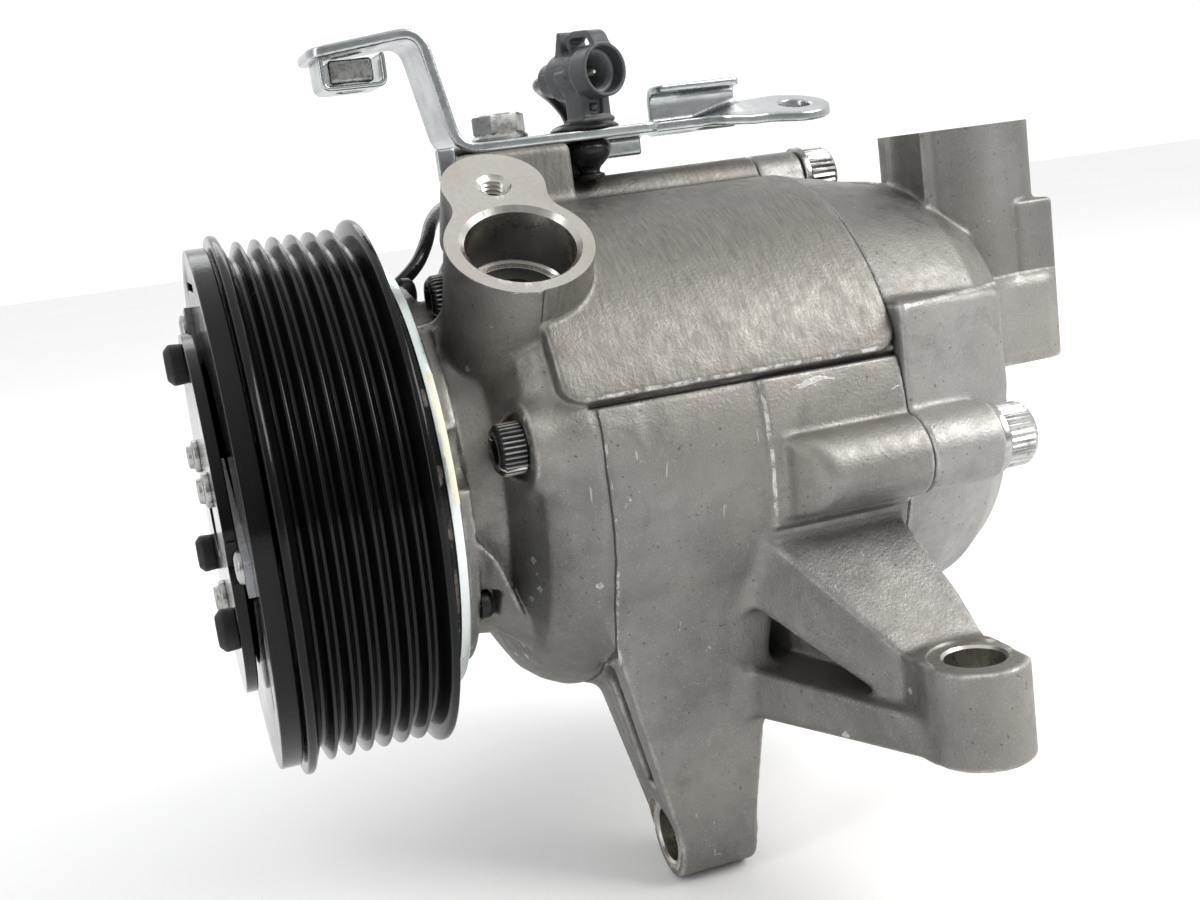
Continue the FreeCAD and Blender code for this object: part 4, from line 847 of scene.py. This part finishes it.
def head_field(p):
    shell = turned(p, [(JOINT, -1), (JOINT, 50), (120, 47.8), (131, 44.2), (137, 40), (141, 33.5),
                       (142, 28), (142, -1)])
    spigot = turned(p, [(104.1, 30), (104.1, 45.15), (JOINT + 2, 45.15), (JOINT + 2, 30)])
    plate = turned(p, [(JOINT, 36), (JOINT, 51.3), (131, 47.6), (139, 44), (139, 36)])
    shell = joined(shell, np.maximum(plate, sector(p, 60, 150)), 0.3)
    bump = hull(p, loft_corners("X", JOINT, (-51, -20, -1, 26), 138, (-40, -10, 2, 24)), 2.5)
    shell = joined(shell, bump, 1.2)
    for angle, radius, _, face in REAR_BOLTS:
        shell = joined(shell, shaftwise(p, BOLT_CIRCLE, angle, JOINT, face, radius), 2.0)
    x, y = DISCHARGE
    tower = joined(rod(p, (x, y, 5), (x, y, DISCHARGE_FACE + 2), 14.0),
                   rod(p, (x + 4.4, y, 5), (x + 4.4, y, DISCHARGE_FACE + 2), 12.4), 0.5)
    lug = joined(rod(p, (*DISCHARGE_LUG, 34), (*DISCHARGE_LUG, DISCHARGE_FACE + 2), 9.0),
                 box(p, (x - 8, y, 34), (x + 12, DISCHARGE_LUG[1], DISCHARGE_FACE + 2)), 1.0)
    base = box(p, (124, y - 14, 5), (160, y + 14, 24.5), 3.0)
    flat = joined(box(p, (x - 13.2, y - 9.5, 5), (x - 4, y + 6, DISCHARGE_FACE + 2), 0.3),
                  box(p, (x + 6, y - 13.2, 5), (x + 15.6, y + 6, 40), 0.8), 0.2)
    tower = joined(tower, flat, 0.3)
    shell = joined(shell, joined(joined(tower, lug, 2.0), base, 0.8), 1.0)
    shell = np.maximum(shell, JOINT + 0.02 - p[:, 0])
    shell = np.minimum(shell, spigot)
    hollow = turned(p, [(103, -1), (103, 41), (126, 41), (126, -1)])
    shell = cut_away(shell, hollow, 0.5)
    shell = cut_away(shell, rod(p, (124.5, -4, 45.8), (124.5, -4, 60), 5.8), 0.4)
    for angle, _, _, face in REAR_BOLTS:
        shell = cut_away(shell, shaftwise(p, BOLT_CIRCLE, angle, face, face + 14, 7.7))
    return cut_away(shell, rod(p, (x, y, 8), (x, y, 70), 8.0))


def cutter(name, rings, origin, axis, count):
    obj = spun(name, rings, origin, axis, count)
    obj.data.materials.append(LOOKS["machined_aluminium"])
    return obj


def bore(name, origin, axis, depth, radius, lip):
    """A cutter for a bore that goes down from an open face, with a chamfer at its mouth."""
    return cutter(name, [(1.5, 0), (1.5, radius + lip + 1.5), (0, radius + lip), (-lip, radius),
                         (-depth, radius), (-depth, 0)], origin, axis, 96)


def face_cut(name, origin, axis, radius, height=8.0):
    """A cutter that leaves a flat machined face."""
    return cutter(name, [(0, 0), (0, radius), (height, radius), (height, 0)], origin, axis, 64)


def tapped(name, origin, axis, depth, radius, pitch=1.0):
    """A cutter for a tapped hole, with its thread as close rings and a countersunk mouth."""
    rings = [(1.5, 0), (1.5, radius + 2.4), (0, radius + 0.9), (-0.7, radius + 0.1)]
    for turn in range(int((depth - 1.5) / pitch)):
        start = -0.8 - turn * pitch
        rings += [(start, radius - 0.25), (start - pitch * 0.5, radius + 0.3)]
    rings += [(-depth, radius - 0.25), (-depth - 1.2, 0)]
    return cutter(name, rings, origin, axis, 48)


housing = cast_object("main_housing_casting", housing_field, (-12, -92, -90), (111, 56, 66), FINE)
housing.data.materials.append(housing_cast)
housing.data.materials.append(LOOKS["machined_aluminium"])
mouth = port_point(SUCTION_FACE)
machined(housing, [
    face_cut("port_face_cut", mouth + 4 * ACROSS_PORT, UP_PORT, 34),
    bore("suction_bore_cut", mouth, UP_PORT, 14.0, 10.5, 1.0),
    bore("suction_pocket_cut", port_point(SUCTION_FACE - 13.9), UP_PORT, 3.1, 9.8, 0.3),
    tapped("suction_tap_cut", port_point(SUCTION_FACE, SUCTION_LUG), UP_PORT, 14.0, M6_TAP),
    face_cut("foot_spot_cut", (*FOOT, FOOT_TOP), UP, 8.5),
    bore("foot_hole_cut", (*FOOT, FOOT_TOP), UP, 30.0, MOUNT_BORE, 0.5),
    face_cut("lug_front_spot_cut", (LUG_FRONT, LUG_Y, LUG_Z), -ALONG_X, 8.0),
    face_cut("lug_back_spot_cut", (LUG_BACK, LUG_Y, LUG_Z), ALONG_X, 8.0),
    bore("lug_hole_cut", (LUG_FRONT, LUG_Y, LUG_Z), -ALONG_X, 30.0, MOUNT_BORE, 0.5),
    bore("bracket_bolt_cut", (*BRACKET_BOLT, BRACKET_BOTTOM), UP, 13.0, 3.0, 0.3),
])
piece(housing, "body", "cast_aluminium", "main_housing", sharp=38)

head = cast_object("rear_head_casting", head_field, (102, -64, -62), (164, 66, 62), FINE)
head.data.materials.append(head_cast)
head.data.materials.append(LOOKS["machined_aluminium"])
cuts = [
    face_cut("discharge_face_cut", (DISCHARGE[0], DISCHARGE[1] + 8, DISCHARGE_FACE), UP, 34),
    bore("discharge_bore_cut", (*DISCHARGE, DISCHARGE_FACE), UP, 16.0, 9.0, 0.8),
    tapped("discharge_tap_cut", (*DISCHARGE_LUG, DISCHARGE_FACE), UP, 14.0, M6_TAP),
]
for number, (angle, _, _, face) in enumerate(REAR_BOLTS):
    cuts.append(bore("bolt_hole_cut_%d" % number, polar(face, BOLT_CIRCLE, angle), ALONG_X, 30, 4.3, 0.3))
machined(head, cuts)
piece(head, "body", "cast_aluminium", "rear_head", sharp=38)


# ---- screws ----

bolts, washers = [], []
for angle, _, start, face in REAR_BOLTS:
    seat = face + WASHER_THICK
    bolts.append(socket_screw("bolt", polar(seat, BOLT_CIRCLE, angle), ALONG_X, 6.5, 7.0, 3.95,
                              seat - start - 8))
    section = filleted([(0, 4.2), (0, 7.2), (WASHER_THICK, 7.2), (WASHER_THICK, 4.2)], 0.3)
    washers.append(spun("washer", section, polar(face, BOLT_CIRCLE, angle), closed=True, count=72))
piece(merged("rear_bolt_set", bolts), "body", "bright_steel", "rear_bolts")
piece(merged("rear_washer_set", washers), "body", "bright_steel", "rear_washers")

screws = [socket_screw("screw", polar(SCREW_FACE, SCREW_CIRCLE, angle), -ALONG_X, 5.0, 5.5, 2.95, 25)
          for angle in SCREW_ANGLES]
screws.append(socket_screw("screw", polar(SHORT_SCREW_FACE, SCREW_CIRCLE, SHORT_SCREW_ANGLE), -ALONG_X,
                           4.6, 4.0, 2.95, 2.2))
piece(merged("front_screw_set", screws), "body", "black_steel", "front_screws")
small = [spun("coil_screw", filleted([(-3, 0), (-3, 1.48), (2.2, 1.48), (2.2, 3.1, 0.1), (4.0, 3.0, 0.8),
                                      (4.8, 1.8, 0.4), (4.8, 0)], 0.15, closed=False),
              polar(20, COIL_SCREW_CIRCLE, angle), count=48) for angle in COIL_SCREW_ANGLES]
piece(merged("coil_screw_set", small), "body", "black_steel", "coil_screws")


# ---- pulley and clutch ----

def pulley_outline():
    """The pulley's section: its rim with seven belt grooves, its web and its hub."""
    pitch, ridge, root = 3.56, 53.0, 50.1
    points = [(-14.5, 44.5, 0.8), (-14.5, 54.8, 1.0), (-12.9, 54.8, 0.7)]
    for groove in range(-3, 4):
        middle = groove * pitch
        points += [(middle - pitch / 2 + 0.28, ridge, 0.25), (middle - 0.42, root, 0.25),
                   (middle + 0.42, root, 0.25), (middle + pitch / 2 - 0.28, ridge, 0.25)]
    points += [(12.8, 54.4, 0.6), (14.2, 54.4, 0.8), (14.2, 51.5, 0.5), (12.5, 48.5, 0.5), (12.5, 44.5, 0.5),
               (-9.5, 44.5, 1.5), (-9.5, 29.0, 1.5), (12.0, 29.0, 0.5), (12.0, 26.02, 0.3),
               (-12.0, 26.02, 0.3), (-14.5, 30.5, 0.8)]
    return filleted(points, 0.5)


pulley = spun("pulley_wheel", pulley_outline(), count=256, closed=True)
piece(pulley, "pulley", "pulley_black", "pulley", sharp=50)


def softened(name, node, width):
    """A CAD piece with its sharp edges rounded over."""
    obj = linked(bpy.data.objects.new(name, frame["nodes"][node].data.copy()))
    bm = bmesh.new()
    bm.from_mesh(obj.data)
    bmesh.ops.remove_doubles(bm, verts=bm.verts, dist=1e-6)
    bmesh.ops.dissolve_limit(bm, angle_limit=math.radians(1.5), verts=bm.verts, edges=bm.edges)
    bm.to_mesh(obj.data)
    bm.free()
    bevel = obj.modifiers.new("round", "BEVEL")
    bevel.width = width * MM
    bevel.segments = 2
    bevel.limit_method = "ANGLE"
    bevel.angle_limit = math.radians(38)
    mesh = applied(obj)
    obj.modifiers.clear()
    obj.data = mesh
    return obj


def thirds(name, rings, radius, angle):
    """Three equal turned pieces, a third of a turn apart."""
    places = [polar(0, radius, angle + 120 * k) for k in range(3)]
    return merged(name, [spun(name, rings, place, count=64) for place in places])


for node, body, width in (("armature", "armature", 0.35), ("hub", "shaft", 0.4)):
    piece(softened(node + "_plate", node, width), body, "pulley_black", node, look=satin_black, sharp=20)
piece(softened("leaf_spring_set", "leaf_springs", 0.15), "shaft", "spring_steel", "leaf_springs", sharp=20)
stopper = filleted([(-20.3, 0), (-20.3, 3.0), (-22.6, 3.0), (-22.6, 3.9), (-25.2, 4.1, 0.4),
                    (-26.35, 2.9, 0.3), (-26.35, 1.4, 0.2), (-25.9, 1.1, 0.2), (-25.9, 0)],
                   0.2, closed=False)
piece(thirds("hub_stopper_set", stopper, 31.0, 93.74), "shaft", "black_rubber", "hub_stoppers")
rivet = filleted([(-19.0, 0), (-19.0, 2.19), (-22.6, 2.19), (-22.6, 3.5), (-23.7, 3.4, 0.3),
                  (-23.9, 2.6, 0.2), (-24.9, 2.4, 0.3), (-25.0, 1.2, 0.2), (-24.3, 0.9, 0.2), (-24.3, 0)],
                 0.15, closed=False)
piece(thirds("hub_rivet_set", rivet, 17.7, 34), "shaft", "bright_steel", "hub_rivets")
rivet = filleted([(-15.7, 0), (-15.7, 2.19), (-20.3, 2.19), (-20.3, 3.1), (-21.2, 3.0, 0.4),
                  (-21.65, 1.8, 0.3), (-21.65, 0)], 0.15, closed=False)
piece(thirds("armature_rivet_set", rivet, 40.5, 63.74), "armature", "bright_steel", "armature_rivets")
bolt = spun("hub_centre_bolt", [
    (-4, 0), (-4, 2.95), (-17, 2.95), (-17, 6.4), (-17.6, 6.4), (-18.2, hexagonal(10.6)),
    (-21.5, hexagonal(10.6)), (-22, hexagonal(10.0)), (-22, 3.2), (-21.2, 2.6), (-21.0, 0)], count=96)
piece(bolt, "shaft", "bright_steel", "hub_bolt")

rings = filleted([(17, 21.45), (17, 44, 0.5), (19.2, 44, 0.7), (19.2, 21.45)], 0.2)
piece(spun("coil_fixing_plate", rings, count=192, closed=True), "body", "zinc_plate", "coil_plate",
      look=coil_look())


# ---- wiring bracket ----

THIN = 0.28


def rounded_rect(u, v, u_low, u_high, v_low, v_high, corner):
    a = np.abs(u - (u_low + u_high) / 2) - (u_high - u_low) / 2 + corner
    b = np.abs(v - (v_low + v_high) / 2) - (v_high - v_low) / 2 + corner
    return rounded_corner(a, b) - corner


def bracket_field(p):
    """The bent sheet: its rolled arm, its strip with a tilted ear, and two flanges."""
    x, y, z = p[:, 0], p[:, 1], p[:, 2]
    middle = BRACKET_BOTTOM + BRACKET_THICK / 2
    path = filleted([(12, 87.3), (33.9, 89.75), (38.7, middle), (84, middle)], 4.5, 6, closed=False)
    band = np.maximum(strip(x, z, path, BRACKET_THICK), rounded_rect(x, y, 11, 84, 0, 20, 4.0))
    plan = joined(rounded_rect(x, y, 74, 101, 8, 20, 1.0), rounded_rect(x, y, 99, 121, 6.2, 20, 2.0), 3.0)
    plan = joined(plan, np.hypot(x - 121, y - 12) - 8, 4.0)
    lift = (0.8 + 0.3 * (y - 12)) * np.clip((x - 98) / 10, 0, 1)
    ear = np.maximum(plan, np.abs(z - middle - lift) - BRACKET_THICK / 2)
    sheet = joined(band, ear, 0.4)
    lip = filleted([(19.0, 64.5), (19.0, 73.65), (12.5, 73.65)], 3.0, 5, closed=False)
    flange = np.maximum(strip(y, z, lip, 1.7), rounded_rect(x, z, 88, 109, 60, 80, 1.5))
    flange = np.maximum(flange, np.where(z > 72, rounded_rect(x, y, 88, 109, 11.8, 40, 4.0), -9))
    sheet = joined(sheet, flange, 1.2)
    sheet = joined(sheet, box(p, (72, 17.9, 60), (85, 20, 66.3), 0.5), 1.0)
    sheet = joined(sheet, box(p, (33.8, 0, 59.2), (37.8, 2.2, 66), 0.4), 1.0)
    crease = np.maximum(np.abs(y - 12.5) - 0.35, np.maximum(72 - z, z - 84))
    sheet = cut_away(sheet, np.maximum(crease, 35.9 - x - (z - 78) * 0.2))
    for hole_x, hole_y, radius in ((*BRACKET_BOLT, 3.3), (*CLIP, 3.3), (121, 12, 3.6),
                                   (*BRACKET_NUT, 3.4)):
        sheet = cut_away(sheet, np.hypot(x - hole_x, y - hole_y) - radius)
    return sheet


def nut_hole(p, radius):
    return np.hypot(p[:, 0] - BRACKET_NUT[0], p[:, 1] - BRACKET_NUT[1]) - radius


def cage_field(p):
    path = filleted([(13.7, 86.1), (13.7, 80.3), (26.3, 80.3), (26.3, 86.1)], 1.6, 4, closed=False)
    wall = np.maximum(strip(p[:, 0], p[:, 2], path, 1.0), np.abs(p[:, 1] - 10) - 6.8)
    return cut_away(wall, nut_hole(p, 3.4))


def nut_field(p):
    return cut_away(box(p, (15.5, 5.5, 81.2), (24.5, 14.5, 86.1), 0.7),
                    nut_hole(p, M6_TAP))


piece(cast_object("bracket_sheet", bracket_field, (9, -2, 57), (131, 22, 93), THIN), "body", "zinc_plate",
      "bracket", sharp=60)
piece(cast_object("nut_cage", cage_field, (11, 1, 78), (29, 19, 88), 0.22), "body", "zinc_plate",
      "bracket_nut_cage", sharp=60)
piece(cast_object("cage_nut", nut_field, (13, 3, 79), (27, 17, 88), 0.22), "body", "bright_steel",
      "bracket_nut", sharp=60)
hexagon = hexagonal(9.9)
bolt = spun("bracket_hex_bolt", [
    (-13.2, 0), (-13.2, 2.95), (0, 2.95), (0, 5.8), (0.25, 6.0), (0.7, 6.0), (1.5, 5.3), (1.6, hexagon),
    (4.9, hexagon), (5.25, hexagonal(9.5)), (5.5, 4.5), (5.3, 3.6), (5.3, 0)],
    (*BRACKET_BOLT, BRACKET_TOP), UP, 96)
piece(bolt, "body", "bright_steel", "bracket_bolt")


# ---- connector, clip and lead ----

def plug_frame(points):
    """Points as (to the right, behind the mouth, up) from the middle of the plug's mouth."""
    x, y = points[:, 0] - PLUG[0], points[:, 1] - PLUG[1]
    return np.stack([x * PLUG_COSINE + y * PLUG_SINE, y * PLUG_COSINE - x * PLUG_SINE,
                     points[:, 2] - PLUG[2]], 1)


def connector_field(p):
    q = plug_frame(p)
    body = joined(rod(q, (0, 0, 0), (0, 5.5, 0), 5.6), rod(q, (0, 5, 0), (0, 15.5, 0), 5.15), 0.6)
    fin = hull(q, [(s, d, h) for s in (-3, 3) for d, h in ((11.2, 3), (14.2, 3), (11.2, 9.2), (12.0, 9.2))])
    for solid, soft in ((rod(q, (0, 14, 0), (0, 17.5, 0), 3.3), 0.8),
                        (rod(q, (0, 17.2, 0), (0, 20.4, 0), 3.7), 0.3),
                        (box(q, (-5.5, 7.5, -0.7), (5.5, 11.5, 0.7), 0.2), 0.3),
                        (box(q, (-3.7, 4.6, -10.5), (3.7, 11, -2.6), 0.4), 0.6),
                        (box(q, (-4.3, 4.2, -10.5), (4.3, 11.4, -9.3), 0.3), 0.3), (fin, 0.4)):
        body = joined(body, solid, soft)
    path = filleted([(0.9, 5.4), (2.2, 7.7), (8.2, 8.2), (9.9, 6.9), (9.2, 5.8)], 1.2, 4, closed=False)
    latch = np.maximum(strip(q[:, 1], q[:, 2], path, 1.5), np.abs(q[:, 0]) - 2.2)
    body = joined(body, joined(latch, box(q, (-1.0, 1.2, 4.6), (1.0, 3.2, 7.6), 0.2), 0.3), 0.4)
    body = cut_away(body, box(q, (-0.9, 5.0, 6.8), (0.9, 7.0, 10)))
    body = cut_away(body, box(q, (-1.9, 3.5, -8.6), (1.6, 5.7, -5.6), 0.1))
    body = joined(body, box(q, (-1.2, 5.0, -7.9), (0.8, 5.9, -6.6), 0.1), 0.1)
    return cut_away(body, rod(q, (0, -2, 0), (0, 12, 0), 4.75))


piece(cast_object("connector_shell", connector_field, (57, -6, 65), (82, 24, 90), THIN * 0.85), "body",
      "grey_plastic", "connector_body", sharp=60)
back = np.array([-PLUG_SINE, PLUG_COSINE, 0.0])
light_grey = plastic_look("light_grey_plastic", (0.13, 0.135, 0.14), 0.45)
liner = spun("socket_liner", filleted([(3.2, 4.74), (3.2, 3.9), (4.4, 3.5), (11.9, 3.4), (11.9, 4.74)], 0.3),
             PLUG, back, 72, closed=True)
piece(liner, "body", "grey_plastic", look=light_grey)
pin = spun("connector_terminal", [(4.0, 0), (4.0, 0.35), (4.8, 0.78), (18.5, 0.78), (18.5, 0)],
           PLUG, back, 24)
piece(pin, "body", "brass_pin", "connector_pin")
clip = spun("plate_clip", filleted([
    (55.8, 0), (55.8, 3.2, 0.4), (57.0, 3.3, 0.3), (57.4, 2.2, 0.3), (58.3, 2.4, 0.5), (60.6, 5.0, 1.0),
    (62.6, 5.4, 0.6), (64.1, 4.6, 0.3), (64.15, 3.2), (BRACKET_TOP, 3.2),
    (BRACKET_TOP + 0.02, 7.4, 0.3), (BRACKET_TOP + 0.5, 7.5, 0.3), (BRACKET_TOP + 1.4, 6.4, 0.8),
    (BRACKET_TOP + 2.0, 3.6, 0.5), (BRACKET_TOP + 2.1, 0)],
    0.25, closed=False), (*CLIP, 0), UP, 72)
piece(clip, "body", "black_plastic", "connector_clip")

lead = bpy.data.curves.new("clutch_lead_sleeve", "CURVE")
lead.dimensions = "3D"
lead.bevel_depth = LEAD_DIAMETER / 2 * MM
lead.bevel_resolution = 6
lead.resolution_u = 14
lead.use_fill_caps = True
line = lead.splines.new("NURBS")
line.points.add(len(LEAD_ROUTE) - 1)
for point, place in zip(line.points, LEAD_ROUTE):
    point.co = (*(value * MM for value in place), 1)
line.order_u = 3
line.use_endpoint_u = True
piece(linked(bpy.data.objects.new("clutch_lead_sleeve", lead)), "body", "black_lead", "clutch_lead")
rings = filleted([(19.2, 0), (19.2, 2.4), (20.4, 2.4), (20.8, 2.0), (21.7, 2.1), (21.7, 0)], 0.25,
                 closed=False)
grommet = spun("lead_boot", rings, (0, *LEAD_ROUTE[0][1:]), count=48)
piece(grommet, "body", "black_rubber", "lead_grommet")


# ---- floor, light and camera ----

floor_mesh = bpy.data.meshes.new("floor")
floor_mesh.from_pydata([(-4, -4, 0), (4, -4, 0), (4, 4, 0), (-4, 4, 0)], [], [(0, 1, 2, 3)])
floor = linked(bpy.data.objects.new("floor", floor_mesh))
floor.location.z = CAD_BOX[0][2] - 0.0002
pale = Look("pale_floor", roughness=0.85, color=(0.9, 0.9, 0.9))
pale.feed(pale.shader.inputs["Base Color"],
          pale.mix(pale.noise(3, 2), (0.89, 0.89, 0.89), (0.92, 0.92, 0.92)))
floor.data.materials.append(pale.material)

bpy.context.scene.view_settings.view_transform = "Standard"
world = bpy.data.worlds.new("studio")
bpy.context.scene.world = world
world.use_nodes = True
sky = world.node_tree
aim = sky.nodes.new("ShaderNodeTexCoord").outputs["Generated"]
tilt = sky.nodes.new("ShaderNodeVectorMath")
tilt.operation = "DOT_PRODUCT"
tilt.inputs[1].default_value = (0.18, 0.62, 0.76)
sky.links.new(aim, tilt.inputs[0])
glow = sky.nodes.new("ShaderNodeMapRange")
for socket, value in (("From Min", -0.55), ("From Max", 0.45), ("To Min", 0.26), ("To Max", 1.1)):
    glow.inputs[socket].default_value = value
sky.links.new(tilt.outputs["Value"], glow.inputs["Value"])
background = sky.nodes["Background"]
background.inputs["Color"].default_value = (1.0, 1.0, 1.0, 1)
sky.links.new(glow.outputs["Result"], background.inputs["Strength"])


def softbox(name, place, aim, width, height, power, color=(1, 1, 1)):
    light = bpy.data.lights.new(name, "AREA")
    light.shape = "RECTANGLE"
    light.size, light.size_y = width, height
    light.energy = power
    light.color = color
    obj = linked(bpy.data.objects.new(name, light))
    obj.location = place
    obj.rotation_euler = (Vector(aim) - Vector(place)).to_track_quat("-Z", "Y").to_euler()


softbox("key_light", (0.80, -0.58, 0.72), (0.07, -0.02, 0.0), 0.7, 0.6, 12.5, (1.0, 0.985, 0.965))
softbox("back_light", (0.1, 0.8, 0.6), (0.06, 0, 0), 0.8, 0.3, 1.5, (0.96, 0.98, 1.0))
softbox("left_strip", (-0.75, -0.35, 0.30), (0.0, 0, 0), 0.12, 0.7, 1.8)

camera = bpy.data.objects.new("camera", bpy.data.cameras.new("camera"))
linked(camera)
camera.location = (-0.031873, -0.296233, 0.056797)
camera.rotation_euler = [math.radians(angle) for angle in (79.2064, 7.2615, -18.6685)]
camera.data.lens = 43.376
camera.data.sensor_width = 36
camera.data.clip_start = 0.01
bpy.context.scene.camera = camera
